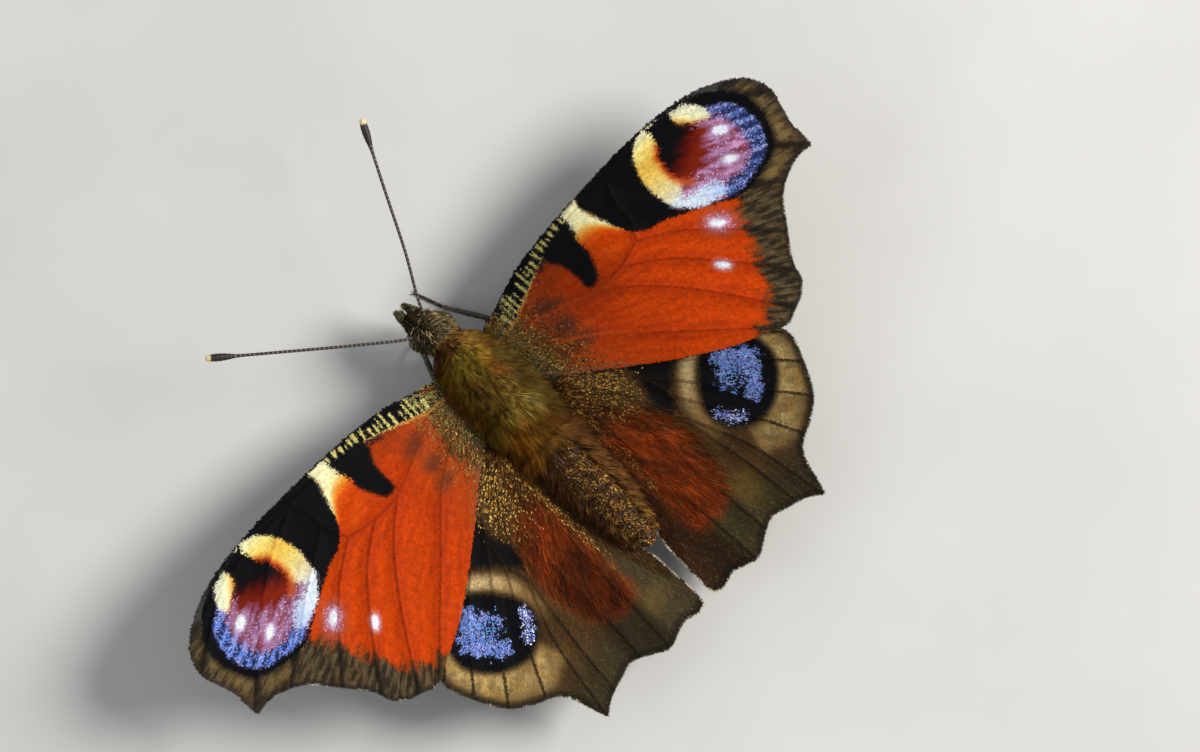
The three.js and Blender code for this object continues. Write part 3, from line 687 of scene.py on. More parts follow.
HIND_BLUE = patch(
    (13.1, 10.9), (13.6, 10.2), (14.9, 10.9), (16.1, 12.2), (16.2, 13), (15.7, 13.7), (15.1, 14.4),
    (14.7, 15.1), (14, 15.5), (13.25, 15.35), (12.9, 14.75), (13.2, 14.1), (12.4, 13.55), (12.1, 12.9),
    (12.3, 12.2), (12.9, 11.7)
)
HIND_BLUE_CRESCENT = patch(
    (10.3, 13.7), (10.75, 13.7), (11.3, 14.5), (12.2, 15.5), (11.9, 15.95), (11, 15.35), (10.5, 14.6)
)
HIND_BLACK = patch(
    (8.3, 6.3), (9.6, 6.7), (10.5, 7.8), (11.2, 8.5), (10.5, 9.1), (9.4, 10), (8.9, 10.8), (8.1, 11.4),
    (7.8, 10.4), (8.1, 9), (8.4, 8.1)
)
HIND_RING = smooth([(13.6, 8.7), (12.2, 9.4), (11.1, 10.3), (10.1, 11.6), (9.7, 13.2), (9.8, 14.8)], 0.2)
HIND_TAN = patch(
    (16.5, 12), (18.4, 12.8), (18.3, 14.5), (17.3, 16.5), (16.2, 17.9), (14.8, 18.9), (13.4, 19.4),
    (12.3, 18.9), (11.7, 17.2), (13, 16.7), (14.6, 16.2), (15.9, 15), (16.7, 13.6)
)
RUST_STREAK = patch(
    (3.6, 8.5), (5.5, 8.2), (7.2, 9.6), (8.3, 12.6), (8.2, 16), (7.3, 18.6), (5.4, 19.6), (4.0, 19.2),
    (3.8, 15), (3.6, 11)
)
COSTAL_LINE = smooth([(3.1, -1.8), (5, -2.1), (7.5, -3.15), (10, -4.0), (13, -4.6), (15, -4.8)], 0.3)
COSTAL_EDGE = smooth([(1.9, -3.3), (5, -4.15), (7.3, -4.85), (10.5, -5.3), (15, -5.55)], 0.3)

# Their colours, as sRGB from 0 to 255
RED = (202, 66, 4)
DEEP_RED = (150, 40, 12)
BLACK = (12, 12, 15)
CREAM = (244, 240, 190)
GOLD = (234, 190, 80)
BLUE = (74, 110, 192)
LILAC = (164, 168, 222)
WHITE = (238, 244, 252)
MAUVE = (158, 98, 136)
MARGIN_BROWN = (66, 56, 40)
MARGIN_GOLD = (134, 108, 60)
RUST = (196, 76, 18)
OLIVE = (54, 47, 28)
TAN = (198, 168, 104)
RING_CREAM = (206, 180, 130)
UNDER_BLACK = (30, 26, 24)
UNDER_BROWN = (74, 62, 50)


class Markings:
    """Colours of plan points: smooth on the skin, and drawn scale by scale on the coat."""

    def __init__(self, at, draw=None, side=LEFT):
        self.at = at
        self.draw = draw
        self.side = side
        self.colour = np.zeros((len(at), 3))

    def pick(self, left, right):
        """What belongs to this side, where the two differ."""
        return left if self.side == LEFT else right

    def dice(self):
        return 0.5 if self.draw is None else self.draw.random(len(self.at))

    def cover(self, distance, blur):
        """How far a place counts as inside, across an edge that wavers by the blur."""
        if self.draw is None:
            return smoothstep(-blur, blur, distance)
        wavering = distance + blur * (2 * self.dice() - 1)
        return smoothstep(-0.3 * blur, 0.3 * blur, wavering)

    def inside(self, outline, blur):
        return self.cover(depth(outline, self.at), blur)

    def melt(self, distance, blur):
        """A soft edge, half by shade and half by whole scales."""
        return 0.6 * smoothstep(-blur, blur, distance) + 0.4 * self.cover(distance, 0.8 * blur)

    def paint(self, mask, *colours, by=None):
        """Lays a colour, or a run of colours by a value from 0 to 1, over what a mask covers."""
        ramp = np.array(colours, float)
        if by is not None:
            ramp = between(np.linspace(0, 1, len(colours)), ramp, by)
        self.colour += np.broadcast_to(mask, len(self.at))[:, None] * (ramp - self.colour)

    def shade(self, factor):
        self.colour *= factor[:, None]

    def flecks(self, share):
        """Whole scales chosen by chance, as a share of all; on the skin the share itself."""
        share = np.clip(share, 0, 1)
        return share * 0.8 if self.draw is None else (self.dice() < share).astype(float)

    def strew(self, share, *colours, by=None):
        """Lays colours over whole scales chosen by chance."""
        self.paint(self.flecks(share), *colours, by=by)

    def stain(self, strength, centre, size, turn, blur, *colours, by=None):
        """Lays colours over an oval spot with a soft edge."""
        self.paint(strength * self.melt(spot(centre, size, turn, self.at), blur), *colours, by=by)

    def tint(self, spread=0.12):
        """Scene colour, with each scale a little lighter or darker than the next."""
        shade = 1 + spread * (2 * self.dice() - 1)
        return linear(np.clip(self.colour * np.reshape(shade, (-1, 1)), 0, 255))


def speckle(marks, mask, main, light, dark, light_share, dark_share):
    """Lays a colour with lighter and darker scales among it."""
    marks.paint(mask, main)
    marks.paint(mask * marks.flecks(light_share), light)
    marks.paint(mask * marks.flecks(dark_share), dark)


def forewing_base(marks, veins, drift, fine, streaks):
    """A dusky base with gold and grey-green scales."""
    at = marks.at
    x, y = at.T
    rear_edge = np.interp(x, [5, 8, 12.1, 15], [3.9, 6.3, 9.35, 11.2])
    base = smoothstep(8.2, 4.8, x + marks.pick(1.0, 0.0) + 0.8 * drift - 0.12 * y + 2.4 * (streaks - 0.5))
    marks.paint(0.6 * smoothstep(11, 6.5, x + 1.5 * drift - 0.1 * y), (168, 74, 24))
    # dusky weighs the base's dark browns fully on the right wing and less on the left: partly the base's
    # own colour, partly painted shade on the right wing. It also weighs the red veins.
    dusky = marks.pick(0.75, 1.0)
    marks.paint(0.9 * dusky * base, (122, 58, 24), (66, 38, 24), by=patchwork(at, 1.4, 9))
    for centre, size in (((7.4, -1.05), (1.1, 0.6)), ((7.3, 0.95), (0.9, 0.75)), ((7.6, 2.6), (0.9, 0.5))):
        marks.stain(0.75 * dusky, centre, size, 0.3, 0.5, (72, 44, 42), (92, 48, 34), by=fine)
    marks.strew(0.2 * base, (164, 122, 62))
    marks.strew(base * 0.25, (166, 70, 22))
    marks.strew(smoothstep(marks.pick(6.8, 5.8), 3.4, x) * 0.65, (122, 122, 72))
    marks.strew(base * 0.25, (34, 26, 20))
    marks.strew(0.45 * smoothstep(1.1, 0.2, rear_edge - y) * smoothstep(10, 7, x), (140, 84, 52))
    marks.stain(0.7, (3.3, 2.3), (1.0, 1.3), 0, 0.5, (42, 42, 32), (60, 58, 40), by=fine)
    veined = marks.cover(0.12 - veins, 0.06) * smoothstep(4.6, 6, x) * smoothstep(13, 9, x)
    marks.paint((0.85 * dusky ** 3 - 0.25) * veined, (208, 84, 30))


def costal_strip(marks, fine):
    """A black strip along the front edge, barred with pale forks above a thin yellow line."""
    at = marks.at
    x, y = at.T
    costa = np.interp(x, COSTAL_EDGE[:, 0], COSTAL_EDGE[:, 1])
    line = np.interp(x, COSTAL_LINE[:, 0], COSTAL_LINE[:, 1])
    strip = marks.cover(line - y, 0.05) * smoothstep(15.1, 14.9, x) * (y < 0)
    above = np.clip((line - y) / np.maximum(line - costa, 0.1), 0, 1)
    marks.paint(strip, BLACK)
    bar = x / 0.52 + 0.25 * above + 0.25 * np.sin(2.3 * x)
    number = np.floor(bar)
    fork = 0.30 * np.clip(above - 0.25, 0, 1) * (np.sin(number * 12.9) > -0.35)
    reach = 0.72 + 0.2 * np.sin(number * 7.7)
    width = 0.17 + 0.07 * np.sin(number * 4.1) - 0.05 * above
    arm = np.minimum(np.abs(bar - number - 0.5 - fork), np.abs(bar - number - 0.5 + fork))
    bars = smoothstep(0.05, -0.05, arm - width) * smoothstep(0.08, -0.02, above - reach)
    marks.paint(strip * bars * smoothstep(3.3, 4.2, x), (216, 204, 124))
    marks.paint(strip * marks.flecks(smoothstep(6.8, 3.6, x) * 0.5), (160, 148, 90))
    half = 0.07 + 0.07 * smoothstep(8, 6.5, x)
    thin = marks.cover(half - np.abs(y - line) + 0.09 * (fine - 0.5), 0.05) * smoothstep(15.2, 14.8, x)
    marks.paint(thin * marks.flecks(0.8), (196, 124, 48), (198, 176, 104), by=smoothstep(5.5, 8, x))
    marks.paint(0.7 * marks.cover(spot((3.7, -3.3), (0.5, 0.25), -0.4, at), 0.2), (122, 56, 22))

    # Grey-black shade under the line
    shade = smoothstep(0.9, 0.1, y - line) * smoothstep(7.2, 9.6, x) * smoothstep(15, 13, x) * (y > line)
    marks.paint(0.9 * marks.flecks(shade * 0.85), (32, 28, 26))


def forewing_margin(marks, wing, veins):
    """Brown apex and margin, with golden lights, dark vein lines and a dark rim."""
    at = marks.at
    x, y = at.T
    margin = line_distance(wing.margin[1], at)
    rim = smoothstep(24, 24.6, x - 0.5 * (y + 5)) * smoothstep(3.6, 2.6, y)
    marks.paint(rim, (62, 62, 64), (80, 76, 66), by=patchwork(at, 1.6, 7))
    edge = depth(MARGIN, at) + 1.1 * (rays(at, wing.hinge, 0.35, 19, 0.2) - 0.5)
    outer = marks.melt(edge + 0.1, 0.7)
    marks.paint(outer, MARGIN_BROWN, (88, 70, 44), by=rays(at, wing.hinge, 1.6, 8))
    golden = np.maximum(spot((29.4, 1.9), (0.8, 1.5), 0.3, at), spot((27, 3.9), (1.4, 0.6), -0.2, at))
    golden = np.maximum(golden, spot((29.9, -0.8), (0.5, 1.2), 0, at))
    gilt = outer * marks.melt(golden, 0.6) * smoothstep(0.1, 0.5, veins)
    marks.paint(marks.pick(0.7, 0.9) * gilt, MARGIN_GOLD)
    threads = rays(at, wing.hinge, 0.26, 18)
    marks.paint(0.7 * outer * (1 - 0.6 * gilt) * smoothstep(0.5, 0.66, threads), (34, 29, 23))
    marks.paint(0.5 * outer * smoothstep(0.44, 0.26, threads) * marks.flecks(0.8), (120, 106, 78))
    marks.paint(0.7 * outer * smoothstep(0.35, 0.05, veins), (30, 25, 21))
    marks.paint(0.7 * smoothstep(0.5, 0.1, margin) * outer, (36, 32, 28))
    dusk = 0.6 * smoothstep(0.5, 0, -depth(BLACK_BAND, at)) * outer
    marks.paint(dusk * smoothstep(24, 27, x), (30, 27, 25))


def forewing_colours(marks, wing, veins):
    """Brick red with black and pale patches, an eyespot and two white spots."""
    at = marks.at
    x, y = at.T
    drift = patchwork(at, 5, 3)
    fine = patchwork(at, 0.9, 5)
    streaks = rays(at, wing.hinge, 0.6, 6)
    marks.paint(1, RED)
    marks.paint(0.5 * drift * smoothstep(18, 6, x), DEEP_RED)
    marks.paint(0.22 * smoothstep(0.4, 0.8, fine), (226, 88, 20))
    marks.paint(0.3 * smoothstep(0.5, 0.8, streaks), (160, 44, 12))
    marks.paint(0.25 * smoothstep(0.9, 0.3, veins), DEEP_RED)
    marks.paint(0.4 * marks.cover(0.06 - veins, 0.05), (118, 30, 10))
    marks.stain(0.4, (8.8, -2.6), (2.6, 0.8), -0.2, 0.6, (112, 42, 18))
    marks.stain(0.3, (14.2, -0.9), (1.2, 0.7), 0.5, 0.5, (238, 112, 22))
    forewing_base(marks, veins, drift, fine, streaks)
    costal_strip(marks, fine)
    marks.paint(marks.melt(depth(WEDGE, at), 0.2), BLACK)
    forewing_margin(marks, wing, veins)

    # Pale patch, cream at the costa and melting into the red
    beside = np.exp(-np.clip(-depth(BLACK_BAND, at), 0, 9) / 0.4)
    marks.paint(marks.inside(PALE_PATCH, 0.22), CREAM, (238, 226, 160), (236, 150, 44), (220, 82, 16), RED,
                by=np.clip((y + 4.3) / 2.5 - 0.8 * beside * smoothstep(0, -1.4, y), 0, 1))
    marks.paint(marks.inside(BLACK_BAND, 0.1), BLACK)
    edge = marks.cover(0.12 - line_distance(BLACK_BAND[4:19], at), 0.1) * smoothstep(-0.4, -2.6, y)
    marks.paint(0.4 * edge, (226, 200, 150))

    eyespot_colours(marks)

    # Lilac halo and the small white spots behind the eyespot
    halo = spot((21.2, 3.85), (1.45, 0.95), 0.8, at)
    marks.paint(0.7 * marks.melt(halo, 0.6), (164, 98, 116))
    marks.strew(0.5 * smoothstep(0, 0.6, halo), (210, 156, 190))
    for centre, size, turn in (((21.1, 3.78), (0.62, 0.3), 0.7), ((19.1, 6.33), (0.6, 0.27), 0.9)):
        marks.stain(0.7, centre, (size[0] + 0.25, size[1] + 0.2), turn, 0.25, (206, 158, 196))
        marks.stain(1, centre, size, turn, 0.12, WHITE)

    # Dark rim along the costa
    rim = line_distance(wing.margin[0], at)
    marks.paint(marks.cover(0.16 - rim, 0.08) * smoothstep(3.5, 5, x) * smoothstep(25, 22, x), BLACK)
    marks.paint(0.5 * smoothstep(0.6, 0.2, rim) * smoothstep(23.5, 26.5, x), (50, 48, 46))
    # Painted shade: the right forewing darker towards its base and its front edge, where it lies away from
    # the light.
    if marks.side == RIGHT:
        marks.shade(1 - (0.23 - 0.15 * smoothstep(0, 4, y)) * smoothstep(16, 10, x))
    return marks.tint(0.08)


def eyespot_colours(marks):
    """The forewing's eyespot: yellow, mauve, blue and white round a black and red pupil."""
    at = marks.at
    x, y = at.T
    onward, across = (at @ np.array([[0.84, -0.54], [0.54, 0.84]])).T
    streak = patchwork(np.stack([onward * 0.16, across], axis=1), 0.62, 11)
    inside = marks.inside(EYESPOT, 0.12)
    # Painted light and shade: the mauve a little darker on the left wing and lighter on the right.
    mauves = np.array([MAUVE, (190, 146, 192)]) * marks.pick(0.93, 1.05)
    marks.paint(inside, *mauves, by=patchwork(at, 1.5, 12))
    marks.paint(inside * smoothstep(0.4, 0.68, streak) * 0.8, (128, 50, 62))
    marks.paint(inside * marks.flecks(0.1), (206, 172, 214))
    marks.paint(inside * marks.melt(-3.1 - y, 0.3) * smoothstep(26.6, 25.8, x), (22, 18, 20))

    blue = inside * marks.inside(BLUE_CRESCENT, 0.35)
    # Painted light and shade: the blue lighter on the left wing and darker on the right.
    blues = np.array([BLUE, (104, 128, 200)]) * marks.pick(1.15, 0.85)
    marks.paint(blue, *blues, by=patchwork(at, 1.2, 13))
    marks.paint(blue * marks.flecks(0.2 + 0.6 * smoothstep(0.4, 0.65, streak)), (32, 40, 84))
    marks.paint(blue * marks.flecks(0.06 + 0.5 * smoothstep(0.42, 0.2, streak)), LILAC)

    # Yellow crescent, deeper gold across its middle, turning orange beside the pupil
    yellow = inside * marks.inside(YELLOW_CRESCENT, 0.16)
    ragged = 0.25 * (streak - 0.5)
    marks.paint(yellow, CREAM, (242, 220, 122), GOLD, (240, 206, 104), (234, 214, 140), (232, 220, 176),
                (226, 226, 222), by=np.clip((y + 5.0 + 2 * ragged) / 5.6, 0, 1))
    pupil_depth = depth(PUPIL, at)
    beside = smoothstep(-0.9, -0.05, pupil_depth + ragged) * smoothstep(-4.2, -3.4, y)
    beside *= smoothstep(22.6, 21.9, x)
    marks.paint(0.95 * inside * beside, GOLD, (226, 110, 24), (170, 52, 14),
                by=np.clip(1.15 + (pupil_depth + ragged) / 0.75, 0, 1))

    marks.paint(inside * marks.inside(WHITE_BAND, 0.35), (222, 234, 248), (184, 204, 240),
                by=smoothstep(21, 23.8, x))
    marks.paint(inside * marks.inside(SECOND_YELLOW, 0.14),
                (222, 140, 44), (240, 204, 124), CREAM, (238, 238, 206),
                by=smoothstep(-0.75, 0.45, (x - 25.3) * 0.75 - (y + 3.5) * 0.65))
    ragged = ragged * (1 + 2.5 * smoothstep(22.3, 23.6, x) * smoothstep(-3.2, -2.2, y))
    flush = 0.7 * inside * smoothstep(-0.9, 0, pupil_depth + ragged) * smoothstep(23, 24, x)
    marks.paint(flush * smoothstep(-3, -2, y), (124, 40, 50))
    pupil = inside * marks.cover(pupil_depth + ragged, 0.22)
    marks.paint(pupil, BLACK, (24, 12, 12), (70, 16, 12), (104, 24, 12), (126, 34, 14),
                by=np.clip(0.15 + (y + 3.0) / 2.2 + 0.3 * (streak - 0.5) + 0.2 * (x - 23.6), 0, 1))
    for centre, size in (((26.3, -1.05), (0.58, 0.36)), ((25.25, 1.03), (0.58, 0.3))):
        marks.stain(0.6, centre, (size[0] + 0.3, size[1] + 0.25), 0.6, 0.3, (200, 178, 224))
        marks.stain(1, centre, size, 0.6, 0.14, WHITE)


def rust_depth(marks):
    """Depth into the rust streak, which lies nearer the body on the right wing."""
    return depth(RUST_STREAK, marks.at + [marks.pick(0.2, 0.8), 0])


def hindwing_rings(marks, drift, fine, streaks):
    """Tan and cream rings round a black eyespot with blue in it; gives how black each place is."""
    at = marks.at
    x, y = at.T
    tan = smoothstep(-1.3, 1.1, depth(HIND_TAN, at) + 0.8 * (drift - 0.5))
    marks.paint(0.9 * tan, TAN, (208, 182, 124), by=fine)
    marks.paint(0.5 * tan * smoothstep(0.45, 0.7, streaks), (104, 80, 44))
    marks.paint(0.5 * tan * smoothstep(0.45, 0.7, patchwork(at * [0.8, 1.2], 1.3, 29)), (172, 128, 62))
    marks.paint(0.35 * tan * smoothstep(0.5, 0.75, patchwork(at, 1.1, 30)), (122, 108, 70))
    marks.paint(0.3 * tan * smoothstep(16.0, 18.5, y), (112, 90, 52))
    beside = smoothstep(13.2, 16, x) * smoothstep(1.0, 0.2, -depth(HIND_EYESPOT, at))
    marks.paint(0.75 * beside, TAN)
    ring = line_distance(HIND_RING, at)
    marks.paint(smoothstep(1.1, 0.1, ring) * smoothstep(16.4, 13.2, y),
                RING_CREAM, (184, 156, 106), (132, 102, 60), by=np.clip((y - 9.2) / 3.8, 0, 1))
    marks.paint(marks.melt(depth(HIND_BLACK, at) + 0.15, 0.5), (15, 12, 12))
    spot_depth = depth(HIND_EYESPOT, at)
    spot_black = marks.cover(spot_depth, 0.12)
    marks.paint(0.85 * smoothstep(-0.55, 0, spot_depth), (44, 34, 22))
    marks.paint(spot_black, BLACK)
    blue = spot_black * marks.cover(depth(HIND_BLUE, at) - 0.15 + 0.7 * (patchwork(at, 0.9, 27) - 0.5), 0.3)
    centre = smoothstep(1.5, 0.5, np.hypot((x - 13.3) * 1.1, y - 13.4))
    speckle(marks, blue * marks.flecks(0.9 - 0.5 * centre), (106, 132, 214),
            (170, 168, 234), (44, 66, 116), 0.32, 0.14 + 0.35 * centre)
    marks.paint(blue * marks.flecks(0.12), (104, 160, 200))
    crescent = spot_black * marks.inside(HIND_BLUE_CRESCENT, 0.35)
    speckle(marks, crescent * marks.flecks(0.72), (160, 168, 234), WHITE, BLUE, 0.18, 0.2)
    return spot_black


def hindwing_colours(marks, wing, veins):
    """Brown with a rust streak, gold scales at the base and an eyespot in pale rings."""
    at = marks.at
    x, y = at.T
    drift = patchwork(at, 4, 23)
    fine = patchwork(at * [3, 0.8], 1.4, 24)
    margin = line_distance(np.vstack(wing.margin), at)

    streaks = rays(at, wing.hinge, 0.9, 25)
    marks.paint(1, (64, 43, 22), (82, 58, 30), by=drift)
    marks.paint(smoothstep(17.5, 20.5, y + drift - 0.15 * x), OLIVE, (62, 54, 32), by=fine)
    marks.paint(0.35 * smoothstep(0.5, 0.8, streaks), (46, 34, 22))
    inner = smoothstep(4.0, 3.2, x - 0.04 * (y - 12)) * smoothstep(9, 12, y)
    colours = marks.pick(((58, 48, 32), (70, 60, 40)), ((46, 29, 18), (58, 38, 22)))
    marks.paint(0.85 * inner, *colours, by=fine)
    marks.stain(0.6, (3.5, 3.2), (1.1, 0.9), 0, 0.5, (40, 40, 30))
    # Partly the wing's own dark brown beside the body, partly painted shade in the fold there.
    painted_fold_shade = smoothstep(3.15, 2.75, x + 0.45 * np.clip(y - 14, 0, 6)) * smoothstep(4, 7, y)
    marks.paint(0.85 * painted_fold_shade, (50, 31, 18), (36, 24, 16), by=fine)
    marks.paint(0.8 * smoothstep(0.9, 0.3, margin) * inner, (30, 25, 20))
    marks.paint(0.6 * smoothstep(6, 2.5, x) * smoothstep(12, 6, y), (58, 40, 22))

    # Rust-red hairs' ground, streaked along the wing
    rust = marks.melt(rust_depth(marks), 0.9)
    marks.paint(rust, (72, 34, 16), (140, 56, 16), RUST,
                by=np.clip(1.3 * streaks - 0.1 + 0.2 * (fine - 0.5), 0, 1))
    marks.paint(rust * marks.flecks(0.1), (60, 32, 16))

    # Painted sheen: an olive-gold gleam between the veins near the rear edge, in a different place on each
    # hindwing.
    painted_sheen = spot(*marks.pick(((3.2, 20.5), (1.5, 0.8), 0.2), ((8.2, 19.6), (1.3, 1.5), 0.3)), at)
    marks.paint(0.45 * marks.melt(painted_sheen, 0.9) * smoothstep(0.1, 0.6, veins), (116, 94, 38))

    # Gold scales near the base
    shower = smoothstep(3.3, 0.6, np.hypot((x - 6.0) / 1.1, (y - 5.7) / 1.25))
    shower *= smoothstep(8.9, 7.6, x + 0.2 * y - 1)
    marks.paint(0.7 * shower, (54, 38, 20))
    marks.strew(0.25 * shower, (160, 116, 50))

    # Vein lines and the dark rim round the rings and the eyespot
    spot_black = hindwing_rings(marks, drift, fine, streaks)
    outer = np.clip(smoothstep(14.5, 17, y) + smoothstep(15.5, 17, x), 0, 1) * (1 - spot_black)
    marks.paint(0.75 * outer * marks.cover(0.08 - veins, 0.06), (28, 23, 16))
    marks.paint(0.35 * (1 - spot_black) * marks.cover(0.1 - veins, 0.08), (50, 34, 18))
    marks.paint(0.85 * smoothstep(0.8, 0.15, margin) * smoothstep(12.5, 14, y), (34, 29, 22))
    beyond = smoothstep(0.2, -0.4, depth(HIND_BLACK, at))
    marks.paint(0.6 * (1 - spot_black) * marks.flecks(0.06 * beyond), (104, 84, 50))
    # Painted shade, different on each hindwing.
    marks.shade(painted_side_shade(marks))
    return marks.tint(0.12)


def painted_side_shade(marks):
    """Painted shade, different on each hindwing: the left darker over its rust streak, the right over its
    outer part with the tan and pale ring.
    """
    x, y = marks.at.T
    if marks.side == RIGHT:
        return 1 - 0.12 * smoothstep(8.5, 10.5, x)
    return 1 - 0.3 * smoothstep(11.5, 14.5, y) * smoothstep(3.5, 4.5, x) * smoothstep(8.2, 6.8, x)


def underside_colours(marks, wing, veins):
    """The underside is nearly black, crossed by fine waving lines, with a browner outer band."""
    at = marks.at
    out = np.hypot(*(at - wing.hinge).T)
    wave = np.sin(2 * math.pi * (out / 0.75 + 0.9 * patchwork(at, 2.4, 31)))
    margin = line_distance(wing.margin[1], at)
    marks.paint(1, UNDER_BLACK, (46, 38, 32), by=patchwork(at, 4, 32))
    band = smoothstep(7.5, 5.5, margin + 1.5 * patchwork(at, 3, 33))
    marks.paint(band, UNDER_BROWN, (88, 74, 58), by=patchwork(at, 1.8, 34))
    marks.paint(0.75 * smoothstep(0.1, 0.7, wave), (14, 12, 12))
    marks.strew(0.14 * smoothstep(0.2, -0.6, wave), (112, 98, 78))
    marks.paint(0.8 * marks.cover(0.09 - veins, 0.06), (12, 10, 10))
    marks.paint(0.8 * smoothstep(1.1, 0.3, np.abs(margin - 1.6)), (22, 19, 18))
    if wing.name == "hindwing":
        marks.paint(marks.cover(spot((9.4, 9.8), (0.3, 0.26), 0, at), 0.08), (196, 190, 170))
    return marks.tint()


FOREWING = Wing("forewing", FOREWING_SHAPE, forewing_colours, underside_colours)
HINDWING = Wing("hindwing", HINDWING_SHAPE, hindwing_colours, underside_colours)


def scale_finish(name, roughness, grain):
    """Rows of scales: the markings with a fine mottle, dull as velvet."""
    finish = Finish(name, roughness, 0, 0.06)
    mottle = finish.noise(2600)
    colour = finish.tinted(finish.step(mottle, 0.3, 0.7, 1 - grain, 1 + grain))
    normal = finish.bump(finish.noise(9000), 0.012, 0.5)
    return finish.done(colour, normal, mottle, (roughness - 0.1, roughness + 0.1))


UPPER_FINISH = scale_finish("upper_scales", 0.7, 0.1)
UNDER_FINISH = scale_finish("under_scales", 0.8, 0.14)

for wing in (FOREWING, HINDWING):
    for side_name in SIDES:
        membrane(side_name, wing, UPPER_FINISH)
        scale_coat(side_name, wing, 1, UPPER_SCALES, UPPER_FINISH)
        scale_coat(side_name, wing, -1, UNDER_SCALES, UNDER_FINISH)


# Body skin: one surface from nose to tail, drawn in by the depth of its coat
SKIN_SIDES = 72
SKIN_STEP = 0.11
COAT_DEPTH = [[-8, 0.1], [-7, 0.2], [-6, 0.3], [-5, 0.15], [-4.2, 0.3], [-2.5, 0.35], [3, 0.35], [5.2, 0.2],
              [7, 0.14], [14, 0.12], [17.5, 0.05]]
NOSE_REAR = -7.85
WAIST_REAR = 5.4
SEGMENTS = 8
SEGMENT = (TAIL_REAR - WAIST_REAR) / SEGMENTS
BACK = math.pi / 2


def body_relief(rear, turn):
    """Grooves and swellings of the skin in mm, before its coat."""
    upper = np.clip(np.sin(turn), 0, 1)
    part = ((rear - WAIST_REAR) / SEGMENT) % 1
    belt = np.where(rear > WAIST_REAR, np.minimum(part, 1 - part) * SEGMENT, 9)
    relief = -0.07 * np.exp(-(belt / 0.14) ** 2) + 0.03 * np.sin(math.pi * part) * (rear > WAIST_REAR)
    middle = np.exp(-((turn - BACK) / 0.13) ** 2)
    relief -= 0.12 * middle * smoothstep(-4.6, -3.5, rear) * smoothstep(1.6, 0.4, rear)
    relief += 0.16 * upper ** 4 * np.exp(-((rear - 3.0) / 0.9) ** 2)
    relief -= 0.12 * upper * np.exp(-((rear - 1.7) / 0.25) ** 2)
    return relief


def body_at(rear, turn):
    """World places on the body's skin. A turn of 0 is its left flank and a quarter turn its back."""
    rear, turn = np.broadcast_arrays(np.asarray(rear, float), turn)
    half_width, half_height, height = (along(BODY_SECTIONS, rear)[..., i] for i in range(3))
    shift = np.maximum(0, NECK_REAR - rear) * math.tan(HEAD_YAW)
    grown = body_relief(rear, turn) - along(COAT_DEPTH, rear)[..., 0]
    across = np.maximum(half_width + grown, 0.02) * np.cos(turn)
    up = np.maximum(half_height + grown, 0.02) * np.sin(turn)
    return place(1, shift + across, rear, height + up)


def body_frame(rear, turn):
    """Skin places with the directions rearwards, round the body and outwards."""
    here = body_at(rear, turn)
    back = unit(body_at(rear + 0.04, turn) - here)
    round_body = unit(body_at(rear, turn + 0.01) - here)
    return here, back, round_body, unit(np.cross(back, round_body))


def body_unwrap(rear, turn):
    across = 0.02 + 0.96 * (turn % (2 * math.pi)) / (2 * math.pi)
    return np.stack([across, 0.02 + 0.96 * (rear + 8) / 26], axis=1)


THORAX_WARMTH = (1.07, 0.99, 0.77)
# Patches of the thorax's fur as centre, half sizes, turn, strength and two colours
PELT = (
    ((0.0, -2.2), (1.5, 1.4), 0.0, 0.7, (100, 98, 26), (112, 112, 46)),
    ((-0.5, -0.2), (1.4, 1.3), 0.0, 0.8, (84, 64, 32), (104, 84, 44)),
    ((-1.6, -0.7), (0.45, 1.3), 0.5, 0.8, (122, 70, 20), (156, 100, 28)),
    ((-2.3, -2.8), (0.8, 0.7), 0.0, 0.8, (122, 90, 24), (156, 110, 24)),
    ((1.1, -0.9), (0.6, 1.1), 0.2, 0.7, (44, 32, 18), (66, 40, 18)),
    # painted shade: a dark patch on the left of the back, where it lies away from the light
    ((1.5, 1.3), (0.6, 1.6), 0.0, 0.7, (38, 38, 24), (60, 50, 24)),
    ((2.7, -0.2), (0.6, 2.6), 0.0, 0.7, (92, 58, 20), (124, 82, 26)),
    ((-0.4, 2.6), (1.5, 1.1), 0.0, 0.8, (104, 98, 46), (138, 130, 76)),
    ((-1.5, 3.2), (0.4, 0.8), 0.2, 0.7, (124, 118, 84), (158, 152, 116)),
    ((-2.2, 0.4), (0.5, 1.1), 0.0, 0.7, (84, 64, 24), (108, 84, 28)),
    ((-2.6, 2.4), (0.6, 1.8), 0.0, 0.8, (102, 82, 20), (140, 112, 24)),
    ((1.7, 4.9), (1.0, 1.0), 0.0, 0.85, (150, 104, 28), (186, 132, 40)),
    ((1.0, 4.1), (1.5, 0.8), 0.0, 0.7, (108, 66, 18), (148, 92, 24)),
    ((0.2, -4.9), (1.8, 0.5), 0.0, 0.5, (62, 40, 22), (84, 52, 24)),
)


